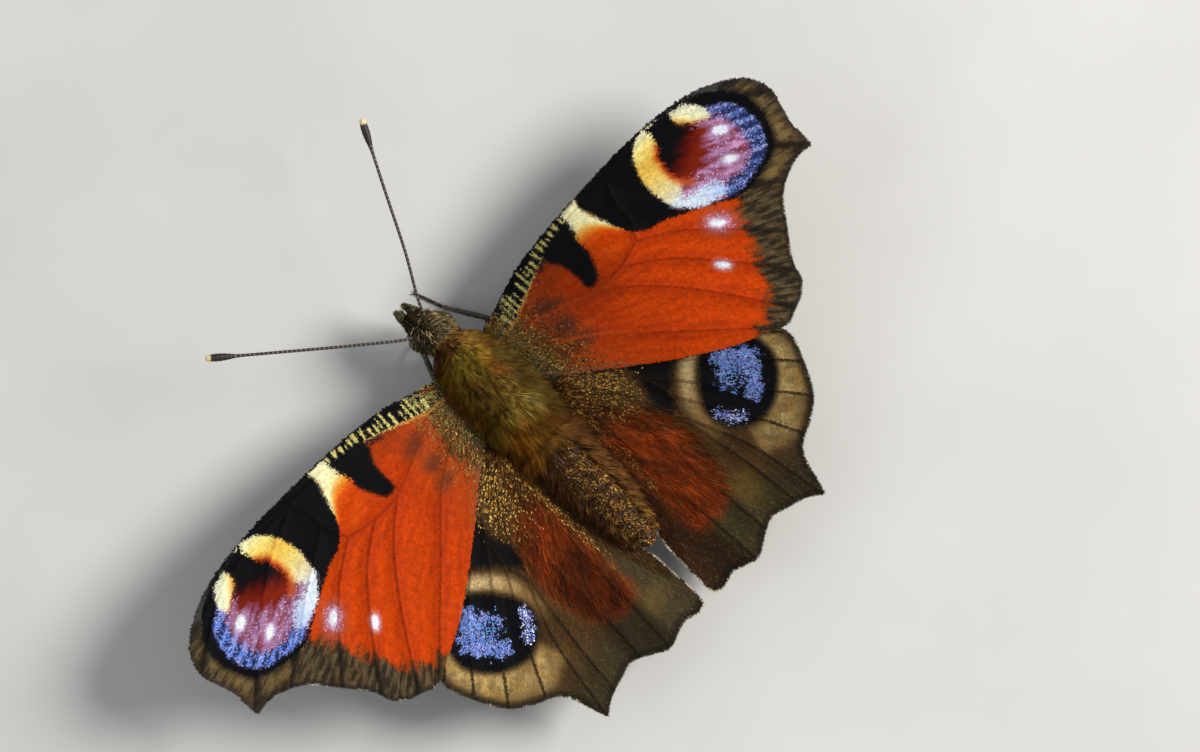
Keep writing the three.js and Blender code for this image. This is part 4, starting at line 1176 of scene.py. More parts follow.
def body_colours(marks, up):
    """Colours by plan place, with up from -1 on the belly to 1 on the back."""
    x, y = marks.at.T
    side = np.abs(x)
    drift = patchwork(marks.at, 1.9, 41)
    fine = patchwork(marks.at * [2, 1], 0.8, 42)
    marks.paint(1, (104, 88, 28), (130, 106, 34), by=drift)
    parting = 0.7 * marks.cover(0.3 - side, 0.3) * smoothstep(-4, -3, y)
    marks.paint(parting * smoothstep(-1.2, -2, y), (70, 62, 22))
    ragged = 0.5 * (fine - 0.5) + 0.5 * (drift - 0.5)
    for centre, size, turn, strength, *colours in PELT:
        edge = spot(centre, size, turn, marks.at) + ragged
        marks.paint(strength * marks.melt(edge, 0.4), *colours, by=fine)
    across = smoothstep(1.5, 1.0, np.abs(x + 0.2))
    marks.paint(0.8 * across * marks.cover(0.13 - np.abs(y - 1.35 - 0.1 * x), 0.1), (38, 28, 18))
    pale = 0.8 * across * marks.cover(0.1 - np.abs(y - 1.0 - 0.1 * x), 0.1)
    marks.paint(pale * smoothstep(0.3, -0.3, x), (166, 146, 98))
    marks.paint(0.5 * smoothstep(0.5, 0.8, patchwork(marks.at, 1.7, 44)), (98, 62, 26))
    band = np.minimum(y + 5.2, -3.75 - y - 0.5 * smoothstep(0, -1.5, x) + 0.7 * smoothstep(1.2, 2.2, x))
    marks.paint(0.85 * marks.cover(band, 0.35), (80, 40, 18), (86, 58, 28), by=fine)
    marks.paint(0.8 * smoothstep(3.6, 5.4, y + 0.8 * drift), (112, 76, 22), (90, 58, 20), by=drift)
    marks.paint(0.7 * smoothstep(3.8, 5.2, y) * smoothstep(0.9, 1.8, side),
                (128, 72, 18), (98, 56, 18), by=fine)
    marks.strew(0.08, (168, 148, 80))
    marks.strew(0.14, (50, 42, 22))
    marks.colour *= THORAX_WARMTH
    # Painted light and shade: the left rear of the thorax a little lighter, its right flank darker.
    marks.shade(1 + 0.12 * smoothstep(3.4, 4.6, y) * smoothstep(0, 1, x))
    marks.shade(1 - 0.36 * smoothstep(-1.2, -2.2, x))
    abdomen = smoothstep(6.2, 8.0, y + 0.6 * drift - 0.3 * side)
    marks.paint(abdomen, (46, 33, 19), (72, 48, 24), by=fine)
    marks.paint(0.8 * abdomen * smoothstep(1.0, 1.5, side), (118, 72, 32), (86, 52, 24), by=fine)
    marks.paint(0.5 * abdomen * smoothstep(-1.0, -1.6, x), (138, 94, 46))
    top = abdomen * smoothstep(1.9, 1.2, side)
    marks.strew(0.3 * top, (116, 66, 24))
    gold = 0.07 + 0.46 * smoothstep(0.35, 0.7, patchwork(marks.at, 1.1, 43))
    golden = marks.flecks(gold * smoothstep(6.4, 9.5, y - 0.3 * x) * top)
    marks.paint(golden, (146, 104, 42), (222, 176, 90), by=marks.dice() ** 2 * np.ones(len(x)))
    marks.strew(0.06 * top, (88, 92, 92))
    marks.paint(abdomen * marks.flecks(0.2), (34, 26, 20))
    head = smoothstep(-5.1, -5.35, y)
    marks.paint(head, (98, 80, 47), (68, 54, 32), by=fine)
    # Painted shade: the head darker on its left side.
    marks.shade(1 - 0.36 * head * smoothstep(-0.6, 0.7, x))
    marks.paint(head * marks.flecks(0.16), (176, 160, 116))
    marks.paint(head * marks.flecks(0.36), (30, 26, 19))
    marks.paint(0.6 * marks.cover(0.12 - np.abs(y + 5.15), 0.1), (132, 112, 76))
    belly = smoothstep(0.1, -0.55, up)
    marks.paint(0.9 * belly, (58, 46, 34), (38, 32, 28), by=drift)
    marks.paint(belly * marks.flecks(0.1), (120, 96, 62))
    return marks.tint(0.16)


def hair_finish():
    """Hair or loose scales: the markings with a fine mottle, darkened towards the roots as painted shade
    within the coat.
    """
    finish = Finish("body_hair", 0.55, 0, 0.1)
    mottle = finish.noise(1500)
    # Painted shade: darkest at the roots, a little lighter at the tips.
    shade = finish.step(finish.field("along"), 0.0, 0.75, 0.35, 1.12)
    shade = finish.math("MULTIPLY", shade, finish.step(mottle, 0.3, 0.7, 0.85, 1.15))
    return finish.done(finish.tinted(shade), None, mottle, (0.45, 0.65))


def skin_finish():
    """Dark pitted skin between the hairs' roots: the markings darkened, as the skin's own dark colour and
    as painted shade under the coat.
    """
    finish = Finish("body_skin", 0.7, 0, 0.2)
    mottle = finish.noise(1800, 3.0)
    # The skin's own darkness with painted shade under the coat: the markings at a third to three fifths.
    colour = finish.tinted(finish.step(mottle, 0.3, 0.7, 0.35, 0.6))
    return finish.done(colour, finish.bump(finish.cells(6500)["Distance"], 0.03, 0.6), mottle, (0.6, 0.8))


def body_skin():
    count = int((TAIL_REAR - NOSE_REAR) / SKIN_STEP)
    rear = np.linspace(NOSE_REAR + 0.12, TAIL_REAR - 0.06, count)
    turn = np.arange(SKIN_SIDES) * 2 * math.pi / SKIN_SIDES
    rear, turn = (grid.ravel() for grid in np.meshgrid(rear, turn, indexing="ij"))
    ends = [body_at(end, np.zeros(1)) for end in (NOSE_REAR, TAIL_REAR)]
    places = np.vstack([body_at(rear, turn), *ends])
    faces = [group[:, ::-1] for group in tube_faces(count, SKIN_SIDES)]
    tint = body_colours(Markings(plan_of(places)), np.append(np.sin(turn), [0, 0]))
    piece = make_mesh("body_skin", places, faces, {"tint": tint})
    finish_piece(piece, "thorax_hair", skin_finish(), "head", "thorax", "abdomen")


def body_samples(draw, count, front, back, low=0.0, high=2 * math.pi):
    """Random skin places as [rear, turn], spread evenly over the skin."""
    rear = draw.uniform(front, back, count * 3)
    girth = along(BODY_SECTIONS, rear)[:, 0]
    keep = draw.random(len(rear)) < girth / 2.8
    rear = rear[keep][:count]
    return rear, draw.uniform(low, high, len(rear))


def locks(draw, roots, lie, reach, size, pull):
    """Draws the tips of neighbouring hairs together into locks. Gives lie, reach and lock numbers."""
    heads = draw.choice(len(roots), max(1, len(roots) // size), replace=False)
    tree = KDTree(len(heads))
    for number, head in enumerate(heads):
        tree.insert(roots[head], number)
    tree.balance()
    lock = np.array([tree.find(root)[1] for root in roots])
    tips = roots + lie * reach[:, None] * MM
    tips += (tips[heads][lock] - tips) * pull * draw.uniform(0.4, 1, (len(roots), 1))
    run = tips - roots
    return unit(run), np.linalg.norm(run, axis=1) / MM, lock


def body_hair(name, slot, count, rears, turns, length, width, lift, seed, fan=0.0, lean=1.0,
              lock=(24, 0.55), shades=(0.6, 1.3), bend=0.35):
    """A coat piece between two rears and two turns, in half turns; length is a profile along the body."""
    draw = np.random.default_rng(seed)
    rear, turn = body_samples(draw, count, *rears, *(end * math.pi for end in turns))
    roots, backward, round_body, outward = body_frame(rear, turn)
    plan = plan_of(roots)
    swirl = (patchwork(plan * [1, 0.8], 1.3, seed) - 0.5)[:, None] * 1.5
    spread = draw.normal(0, 0.16, (len(rear), 1)) + swirl
    stand = np.clip(draw.normal(lift, 0.1, (len(rear), 1)), 0.02, None)
    away = np.cos(turn)[:, None] * np.array([[fan, 0, 0]])
    lie = unit(backward * lean + round_body * spread + outward * stand + away)
    reach = along(length, rear)[:, 0] * draw.uniform(0.65, 1.15, len(rear))
    lie, reach, number = locks(draw, roots, lie, reach, *lock)
    marks = Markings(plan + (lie[:, :2] * reach[:, None]) * 0.5, draw)
    tint = body_colours(marks, np.sin(turn)) * draw.uniform(*shades, (len(rear), 1))[number]
    thickness = width * draw.uniform(0.75, 1.25, len(rear))
    piece = hairs(name, roots, lie, outward, reach, thickness, body_unwrap(rear, turn), tint, bend)
    finish_piece(piece, slot, HAIR_FINISH)


def abdomen_scales(count=22000, seed=51):
    draw = np.random.default_rng(seed)
    rear, turn = body_samples(draw, count, WAIST_REAR - 0.2, TAIL_REAR - 0.2)
    roots, backward, round_body, outward = body_frame(rear, turn)
    spread, stand = draw.normal(0, 0.25, (len(rear), 1)), draw.uniform(0.05, 0.4, (len(rear), 1))
    lie = unit(backward + round_body * spread + outward * stand)
    tint = body_colours(Markings(plan_of(roots), draw), np.sin(turn))
    length = draw.uniform(0.15, 0.25, len(rear))
    unwrap = body_unwrap(rear, turn)
    piece = shingles("abdomen_scales", roots, lie, outward, length, 0.09, unwrap, tint, 0.05)
    finish_piece(piece, "abdomen_scales", HAIR_FINISH)


HAIR_FINISH = hair_finish()

# How long each coat is, as [rear, length]
THORAX_LENGTH = [[-5.2, 0.55], [-4.4, 0.9], [-3, 1.15], [0, 1.3], [2, 1.5], [3.5, 2.0], [5, 2.5], [7, 1.5]]
FLANK_LENGTH = [[-4.4, 0.8], [-3, 1.4], [0, 1.7], [3, 2.0], [6, 2.2]]
BELLY_LENGTH = [[-5, 0.5], [0, 0.9], [5.5, 0.9]]
BROW_LENGTH = [[-7.3, 0.7], [-6.5, 0.95], [-5.2, 0.8]]
FACE_LENGTH = [[-7.85, 1.1], [-7.3, 0.95], [-6.6, 0.7]]
HEAD_LENGTH = [[-8, 0.4], [-7, 0.7], [-6, 0.85], [-5.3, 0.8], [-4.8, 0.7]]
STRAND_LENGTH = [[-8, 0.9], [-6.4, 1.1], [-5.4, 0.7]]
ABDOMEN_LENGTH = [[5, 1.7], [7, 1.2], [10, 0.8], [14, 0.55], [17.5, 0.45]]
TAIL_LENGTH = [[5, 1.9], [8, 1.6], [12, 1.2], [15, 0.9], [17.5, 0.6]]

# Kinds of coat, with locks as [hairs in a lock, how far their tips draw together]
FUR = {"lock": (14, 0.5), "shades": (0.42, 1.65), "bend": 0}
SIDE_FUR = {**FUR, "shades": (0.45, 1.6)}
TUFTED = {"lock": (11, 0.85), "shades": (0.45, 1.6)}
STRANDS = {"lock": (3, 0.2), "shades": (1.2, 2.6), "bend": 0.6}
BACK_TURNS = (0.05, 0.95)
ALL_ROUND = (0, 2)

body_skin()
body_hair("thorax_hair_back", "thorax_hair", 34000, (-4.95, 5.6), BACK_TURNS, THORAX_LENGTH,
          width=0.04, lift=0.45, seed=61, fan=0.35, **FUR)
for side_name, low, brow in (("left", 0.04, 0.12), ("right", 0.68, 0.56)):
    body_hair(f"thorax_flank_{side_name}", "thorax_hair", 11000, (-4.4, 6.2), (low, low + 0.28),
              FLANK_LENGTH, width=0.036, lift=0.35, seed=65, fan=0.8, **SIDE_FUR)
    body_hair(f"head_brow_{side_name}", "head_scales", 2400, (-7.2, -5.35), (brow, brow + 0.32),
              BROW_LENGTH, width=0.055, lift=0.6, seed=66, fan=1.2, lean=0.35, **TUFTED)
body_hair("thorax_hair_belly", "thorax_hair", 8000, (-4.8, 5.4), (0.95, 2.05), BELLY_LENGTH,
          width=0.06, lift=0.25, seed=62, bend=0)
body_hair("head_hair", "head_scales", 12000, (-7.8, -5.0), ALL_ROUND, HEAD_LENGTH,
          width=0.045, lift=0.9, seed=63, **TUFTED, bend=0)
body_hair("face_hair", "head_scales", 2600, (-7.8, -6.7), ALL_ROUND, FACE_LENGTH,
          width=0.055, lift=0.6, seed=67, lean=-0.9, **TUFTED)
body_hair("head_strands", "head_scales", 460, (-7.7, -5.5), BACK_TURNS, STRAND_LENGTH,
          width=0.07, lift=1.0, seed=68, fan=0.5, lean=0.6, **STRANDS)
abdomen_scales()
body_hair("abdomen_hair", "abdomen_scales", 6000, (5.2, 17.3), ALL_ROUND, ABDOMEN_LENGTH,
          width=0.034, lift=0.16, seed=64, fan=0.35, bend=0)
for side_name, low in (("left", -0.08), ("right", 0.72)):
    body_hair(f"abdomen_flank_{side_name}", "abdomen_scales", 2800, (5.0, 17.0), (low, low + 0.36),
              TAIL_LENGTH, width=0.04, lift=0.3, seed=69, fan=0.9)


# Rods: legs, feelers, proboscis and palps
ROD_SIDES = 14
NEARLY_UPRIGHT = 0.97


def rod(path, radii):
    """Places of a closed round rod, how far along each is, and faces: path in metres, radii in mm."""
    path = np.asarray(path, float)
    normal = np.array([0, 0, 1.0])
    rings = []
    angle = np.arange(ROD_SIDES)[:, None] * 2 * math.pi / ROD_SIDES
    for centre, ahead, radius in zip(path, unit(np.gradient(path, axis=0)), np.asarray(radii) * MM):
        if abs(normal @ ahead) > NEARLY_UPRIGHT:
            normal = np.array([1.0, 0, 0])
        normal = unit(normal - ahead * (normal @ ahead))
        rings.append(centre + (np.cos(angle) * normal + np.sin(angle) * np.cross(ahead, normal)) * radius)
    travelled = travel(path) / MM
    travelled = np.append(np.repeat(travelled, ROD_SIDES), [0, travelled[-1]])
    return np.vstack([*rings, path[:1], path[-1:]]), travelled, tube_faces(len(path), ROD_SIDES)


def rods(name, *parts):
    """One mesh of one or more rods, each given as (path, radii)."""
    places, travelled, faces = zip(*(rod(*part) for part in parts))
    offsets = np.cumsum([0] + [len(p) for p in places])
    faces = [np.vstack([group[i] + offset for group, offset in zip(faces, offsets)]) for i in (0, 1)]
    return make_mesh(name, np.vstack(places), faces, {"travelled": np.concatenate(travelled)})


def head_place(forward, lateral, up):
    forward, lateral, up = np.broadcast_arrays(forward, lateral, up)
    return place(1, lateral + forward * math.tan(HEAD_YAW), NECK_REAR - forward, NECK_HEIGHT + up)


# Feelers: thin, ringed shafts with a club at the end
ANTENNA_ROOT = (1.75, 0.6, 0.55)
ANTENNA_PATHS = {
    "left": [(1.7, -6.95, 7.0), (5.0, -9.6, 7.9), (9.2, -13.2, 8.9), (13.7, -17.1, 9.6)],
    "right": [(0.45, -7.7, 7.0), (2.9, -12.0, 8.1), (5.2, -16.4, 9.0), (7.8, -21.3, 9.6)],
}
SHAFT_RADIUS = 0.12
CLUB_PROFILE = [
    [-3.2, 0], [-2.4, 0.15], [-1.9, 0.55], [-1.4, 0.88], [-0.95, 1], [-0.55, 0.92], [-0.3, 0.76],
    [-0.12, 0.5], [0, 0.1],
]
CLUB_RADIUS = 0.31
TIP_RADIUS = 0.03
RING_PITCH = 0.36
RING_SWELL = 0.0072
BASE_SWELL = 0.09


def antenna_finish(length):
    """Black with a thin pale ring to each joint, and a cream tip."""
    finish = Finish(f"antenna_{length:.0f}", 0.5, 0.1, 0.4)
    travelled = finish.field("travelled")
    mottle = finish.noise(9000)
    part = finish.math("FRACT", finish.math("DIVIDE", travelled, RING_PITCH))
    ring = finish.math("MULTIPLY", finish.step(part, 0.72, 0.8), finish.step(part, 0.98, 0.92))
    ring = finish.math("MULTIPLY", ring, finish.step(travelled, length - 1.9, length - 2.3))
    ring = finish.math("MULTIPLY", ring, finish.step(mottle, 0.3, 0.6, 0.3, 0.9))
    colour = finish.mix(finish.step(mottle, 0.3, 0.7), (30, 26, 24), (52, 44, 38))
    colour = finish.mix(ring, colour, (150, 140, 118))
    colour = finish.mix(finish.step(travelled, length - 0.5, length - 0.3), colour, (226, 206, 150))
    return finish.done(colour, finish.bump(mottle, 0.02, 0.6), mottle, (0.4, 0.65))


def antenna(name):
    side = SIDES[name]
    forward, lateral, up = ANTENNA_ROOT
    inner = head_place(forward - 0.5, side * (lateral - 0.1), up - 0.45)
    root = head_place(forward, side * lateral, up)
    path = np.vstack([inner, root, place(side, *np.array(ANTENNA_PATHS[name]).T)])
    path = smooth(path / MM, 0.035) * MM
    travelled = travel(path) / MM
    length = travelled[-1]
    swell = along(CLUB_PROFILE, np.clip(travelled - length, CLUB_PROFILE[0][0], 0))[:, 0]
    radii = np.where(swell > 0, SHAFT_RADIUS * (1 - swell) + CLUB_RADIUS * swell, SHAFT_RADIUS)
    radii = radii + RING_SWELL * np.cos(2 * math.pi * travelled / RING_PITCH)
    radii = radii + BASE_SWELL * np.exp(-((travelled - 0.55) / 0.3) ** 2)
    radii[-1] = TIP_RADIUS
    piece = rods(f"antenna_{name}_shaft", (path, radii))
    finish_piece(piece, "antenna", antenna_finish(length), f"antenna_{name}")


def insect_finish(name, dark, light, share, roughness=0.45):
    """Horny skin with flat scales strewn over it."""
    finish = Finish(name, roughness, 0.1, 0.45)
    cells = finish.cells(7000)
    chance = finish.node("ShaderNodeSeparateColor", {0: cells["Color"]}).outputs[0]
    mottle = finish.noise(1600, 3.0)
    colour = finish.mix(finish.step(mottle, 0.3, 0.7), dark, tuple(c * 1.6 for c in dark))
    colour = finish.mix(finish.step(chance, 1 - share, 1 - share + 0.05, 0, 0.85), colour, light)
    relief = finish.bump(cells["Distance"], 0.03, 0.7)
    return finish.done(colour, relief, mottle, (roughness - 0.08, roughness + 0.12))


# Legs, from the body to the claw as [lateral, rear, height]
MIDLEGS = {
    "left": [(0.9, -0.8, 4.4), (1.35, -1.4, 2.7), (2.75, -3.3, 4.1), (1.65, -6.1, 1.5), (1.4, -6.7, 0.13),
             (0.75, -9.0, 0.11)],
    "right": [(0.9, -0.8, 4.4), (1.35, -1.4, 2.7), (3.6, -3.8, 4.4), (2.0, -6.5, 1.5), (1.75, -7.0, 0.13),
              (0.95, -9.3, 0.11)],
}
HINDLEG = [(0.9, 2.0, 4.4), (1.35, 2.5, 2.7), (4.3, 5.4, 4.2), (5.5, 9.2, 1.5), (5.65, 9.8, 0.13),
           (6.6, 13.4, 0.11)]
FORELEG = [(0.65, -2.7, 4.5), (0.85, -3.3, 2.95), (1.05, -4.7, 2.75), (1.1, -5.9, 3.3)]
LIMB_RADII = [(0.42, 0.4), (0.3, 0.22), (0.2, 0.16), (0.15, 0.15), (0.13, 0.1)]
FORELEG_RADII = [(0.36, 0.34), (0.3, 0.26), (0.26, 0.08)]
TARSUS_JOINTS = 5
CLAW = 0.3
LEG_COAT = {"count": 750, "longer": 1, "stand": 0.35, "colour": (92, 78, 58)}
BRUSH_COAT = {"count": 1000, "longer": 3, "stand": 0.5, "colour": (70, 58, 42)}


def limb_path(joints, radii):
    """Points and radii of a jointed rod, with the limbs swollen between their joints."""
    points, widths = [], []
    for i, (start, end) in enumerate(zip(joints[:-1], joints[1:])):
        t = np.linspace(0, 1, 15)[(0 if i == 0 else 1):]
        near, far = radii[i]
        swell = 0.18 * np.sin(math.pi * t) - 0.12 * np.exp(-((1 - t) / 0.06) ** 2)
        if i == TARSUS_JOINTS - 1:
            swell = 0.16 * np.abs(np.sin(math.pi * TARSUS_JOINTS * t)) - 0.1
        points.append(start + (end - start) * t[:, None])
        widths.append((near + (far - near) * t) * (1 + swell))
    return np.vstack(points), np.concatenate(widths)


def round_rod(draw, path, radii, count):
    """Random places round a rod, thinly sunk in it: places, the way on, the way out, how far along."""
    travelled = travel(path)
    at = draw.uniform(0, 1, count) * travelled[-1]
    centre, step, back = (between(travelled, path, at + shift) for shift in (0, 1e-4, -1e-4))
    ahead = unit(step - back)
    out = unit(np.cross(ahead, unit(draw.normal(0, 1, (count, 3)))))
    radius = np.interp(at, travelled, radii)[:, None] * MM
    return centre + out * radius * 0.9, ahead, out, at / travelled[-1]


def claws(end, forward):
    """Two hooked claws at a leg's end, as rods."""
    across = np.cross(forward, [0, 0, 1])
    t = np.linspace(0, 1, 7)[:, None]
    for hand in (-1, 1):
        claw = end + forward * t * CLAW * MM + across * hand * (0.03 + 0.14 * np.sin(1.6 * t)) * MM
        claw = claw + np.array([[0, 0, 1]]) * (0.1 * np.sin(2.4 * t) - 0.06 * t) * MM
        yield claw, np.linspace(0.045, 0.015, 7)


def leg(kind, side_name, joints, radii, material, seed, coat):
    joints = place(SIDES[side_name], *np.array(joints).T)
    parts = [limb_path(joints, radii)]
    if kind != "foreleg":
        parts += claws(joints[-1], unit(joints[-1] - joints[-2]))
    finish_piece(rods(f"{kind}_{side_name}_limbs", *parts), "leg", material, f"{kind}_{side_name}")
    draw = np.random.default_rng(seed)
    roots, ahead, out, _ = round_rod(draw, *parts[0], coat["count"])
    above = roots[:, 2] > 0.1 * MM
    roots, ahead, out = roots[above], ahead[above], out[above]
    length = draw.uniform(0.12, 0.26, len(roots)) * coat["longer"]
    lie = unit(ahead + out * coat["stand"])
    low = roots[:, 2] + lie[:, 2] * length * MM < 0.03 * MM
    lie[low, 2] = np.abs(lie[low, 2])
    shades = np.random.default_rng(seed)
    tint = linear(coat["colour"]) * shades.uniform(0.6, 1.5, (len(roots), 1))
    unwrap = shades.random((2, len(roots))).T * 0.96 + 0.02
    piece = hairs(f"{kind}_{side_name}_hair", roots, lie, out, length, 0.035, unwrap, tint, 0.2)
    finish_piece(piece, "leg", HAIR_FINISH)


LEG_FINISH = insect_finish("leg", (38, 30, 24), (132, 116, 88), 0.12)
for number, side_name in enumerate(("left", "right")):
    leg("midleg", side_name, MIDLEGS[side_name], LIMB_RADII, LEG_FINISH, 81 - number, LEG_COAT)
    leg("hindleg", side_name, HINDLEG, LIMB_RADII, LEG_FINISH, 83 - number, LEG_COAT)
    leg("foreleg", side_name, FORELEG, FORELEG_RADII, LEG_FINISH, 91 - number, BRUSH_COAT)
    antenna(side_name)


# Proboscis: a tight coil under the head
COIL_CENTRE = (2.15, -2.65)
COIL_RADIUS = 1.1
COIL_PITCH = 0.36
COIL_TURNS = 2.4
PROBOSCIS_RADIUS = 0.12


def proboscis():
    turn = np.linspace(0, COIL_TURNS, 150)
    angle = math.pi * (0.28 - 2 * turn)
    radius = COIL_RADIUS - COIL_PITCH * turn
    forward = np.concatenate([[1.3, 1.75, 2.1], COIL_CENTRE[0] + radius * np.cos(angle)])
    up = np.concatenate([[-0.9, -1.1, -1.4], COIL_CENTRE[1] + radius * np.sin(angle)])
    path = smooth(head_place(forward, 0, up)[::3] / MM, 0.08) * MM
    radii = np.linspace(PROBOSCIS_RADIUS, PROBOSCIS_RADIUS * 0.6, len(path))
    radii = radii * (1 + 0.06 * np.cos(np.arange(len(path)) * math.pi))
    finish = insect_finish("proboscis", (64, 40, 24), (110, 76, 44), 0.1, 0.35)
    finish_piece(rods("proboscis_coil", (path, radii)), "proboscis", finish, "proboscis")


# Palps: a short rod each, hidden in shaggy scales that point forwards and up
PALP_PATH = [(1.6, 0.5, -0.8), (2.0, 0.5, -0.95), (2.75, 0.52, -0.85), (3.3, 0.5, -0.45), (3.8, 0.46, 0.05),
             (4.15, 0.42, 0.42)]
PALP_RADII = [0.16, 0.2, 0.2, 0.17, 0.12, 0.04]


def palp(side_name):
    side = SIDES[side_name]
    forward, lateral, up = np.array(PALP_PATH).T
    path = smooth(head_place(forward, side * lateral, up) / MM, 0.1) * MM
    radii = np.interp(np.linspace(0, 1, len(path)), np.linspace(0, 1, len(PALP_RADII)), PALP_RADII)
    core = insect_finish(f"palp_{side_name}", (40, 36, 28), (120, 110, 84), 0.2, 0.7)
    finish_piece(rods(f"palp_{side_name}_core", (path, radii)), "palp_scales", core, f"palp_{side_name}")
    draw = np.random.default_rng(100 + side)
    roots, ahead, out, at = round_rod(draw, path, radii, 3400)
    length = draw.uniform(0.45, 0.95, len(roots)) * (1.15 - 0.65 * at)
    lie = unit(ahead * 0.9 + out * draw.uniform(0.25, 0.7, (len(roots), 1)) + np.array([0, 0, 0.3]))
    pale = draw.random((len(roots), 1)) < 0.22
    tint = np.where(pale, linear((178, 166, 128)), linear((52, 47, 34)))
    tint = tint * draw.uniform(0.6, 1.4, (len(roots), 1))
    unwrap = np.stack([draw.random(len(roots)), at], axis=1) * 0.96 + 0.02
    coat = hairs(f"palp_{side_name}_scales", roots, lie, out, length, 0.072, unwrap, tint, 0.2)
    finish_piece(coat, "palp_scales", HAIR_FINISH)


# Compound eyes
EYE_FORWARD = 1.3
EYE_BASE = 1.0
EYE_RADII = (1.0, 0.95, 1.08)
EYE_FACET = 0.045
EYE_RINGS = 40
EYE_SIDES = 64


def eye(side_name, material):
    side = SIDES[side_name]
    angle = np.linspace(-0.35, 1, EYE_RINGS)[:, None] * BACK * 0.995
    turn = np.arange(EYE_SIDES)[None, :] * 2 * math.pi / EYE_SIDES
    lateral = EYE_BASE + EYE_RADII[0] * np.sin(angle) + 0 * turn
    forward = EYE_FORWARD + EYE_RADII[1] * np.cos(angle) * np.cos(turn)
    up = EYE_RADII[2] * np.cos(angle) * np.sin(turn)
    places = head_place(forward, side * lateral, up).reshape(-1, 3)
    ring = np.arange(EYE_SIDES)
    faces = [tube_quads(EYE_RINGS, EYE_SIDES), np.array([ring[::-1], (EYE_RINGS - 1) * EYE_SIDES + ring])]
    piece = make_mesh(f"eye_{side_name}_lens", places, [group[:, ::side] for group in faces])
    finish_piece(piece, "eye", material, f"eye_{side_name}")


def eye_finish():
    """Dark brown facets under a clear gloss."""
    finish = Finish("eye", 0.25, 0, 0.35, 0.25)
    finish.shader.inputs["Coat Roughness"].default_value = 0.12
    facets = finish.cells(1 / (EYE_FACET * MM))["Distance"]
    colour = finish.mix(finish.step(finish.noise(900), 0.35, 0.65), (26, 15, 10), (58, 33, 19))
    colour = finish.mix(finish.step(facets, 0.3, 0.6), colour, (14, 9, 8))
    return finish.done(colour, finish.bump(finish.step(facets, 0.0, 0.6, 1, 0), 0.006, 0.6))


proboscis()
EYE_FINISH = eye_finish()
for side_name in SIDES:
    palp(side_name)
    eye(side_name, EYE_FINISH)


# Fringes: fine scales along the outer margins, dark with pale tufts in the notches
def fringe(side_name, wing):
    side = SIDES[side_name]
    draw = np.random.default_rng([7, len(wing.name), side + 1])
    edge = fringe_inset(wing.outline)
    line = respaced(np.vstack([edge, edge[:1]]), 0.03)
    outward = -square_to(unit(np.gradient(line, axis=0))) * winding(edge)
    margin = np.minimum(line_distance(wing.margin[1], line), 9)
    other = line_distance(wing.margin[0], line)
    keep = (margin < 0.35) | ((other < 0.35) & (line[:, 1] > 3))
    if wing.name == "hindwing":
        keep |= line[:, 1] > 12
    line, outward, margin = line[keep], outward[keep], margin[keep]
    at = np.repeat(line, 2, axis=0) + draw.normal(0, 0.012, (2 * len(line), 2))
    out = np.repeat(outward, 2, axis=0)
    face = np.tile([0.4, -0.4], len(line))
    veins = wing.vein_distance(at)
    height = wing.height(at, 0, veins)
    roots = place(side, *(at - out * 0.12).T, height + face * HALF_SKIN)
    turn = draw.normal(0, 0.16, len(at))
    x, y = out.T
    lie = np.stack([side * (x - turn * y), y + turn * x, face * 0.05], axis=1)
    notch = smoothstep(0.7, 1.6, veins) * patchwork(at, 1.6, 91)
    marks = Markings(at, draw)
    marks.paint(1, (46, 38, 30), (70, 58, 44), by=patchwork(at, 2, 92))
    marks.strew(1.1 * notch, (186, 176, 150))
    length = draw.uniform(0.22, 0.38, len(at))
    upward = np.array([[0, 0, 1.0]])
    piece = shingles(f"{wing.name}_{side_name}_fringe", roots, unit(lie), upward, length, 0.055,
                     wing.bake_place(at), marks.tint(), 0.02)
    finish_piece(piece, f"{wing.name}_scales", UPPER_FINISH)


# Long hairs over the wings' bases
def hindwing_hair_colours(marks):
    """Gold-brown at the base, rust half way out, and brown along the inner margin."""
    x, y = marks.at.T
    # The ground darker on the right hindwing than on the left: painted shade.
    ground = marks.pick(((118, 72, 28), (84, 48, 22)), ((100, 54, 24), (70, 38, 18)))
    marks.paint(1, *ground, by=patchwork(marks.at, 1.1, 74))
    streaks = rays(marks.at, HINDWING.hinge, 0.9, 25)
    marks.paint(marks.cover(rust_depth(marks), 0.8), (216, 86, 22), (140, 58, 20), (84, 40, 18), by=streaks)
    inner = smoothstep(3.5, 3.0, x) * marks.pick(1, smoothstep(3.0, 2.2, x))
    colours = marks.pick(((104, 72, 36), (70, 52, 30)), ((88, 52, 24), (52, 32, 18)))
    marks.paint(inner, *colours, by=patchwork(marks.at, 1.2, 76))
    marks.paint(inner * smoothstep(9, 6, y), (112, 66, 22))
    marks.strew(0.06, (150, 104, 50))
    # Painted shade, different on each hindwing, as on the wing itself.
    marks.shade(painted_side_shade(marks))
    return marks.tint(0.3)


def forewing_hair_colours(marks):
    """Olive-gold and brown, with darker hairs among them."""
    marks.paint(1, (112, 96, 50), (132, 84, 32), by=patchwork(marks.at, 1.2, 77))
    marks.strew(0.2, (70, 56, 32))
    return marks.tint(0.2)


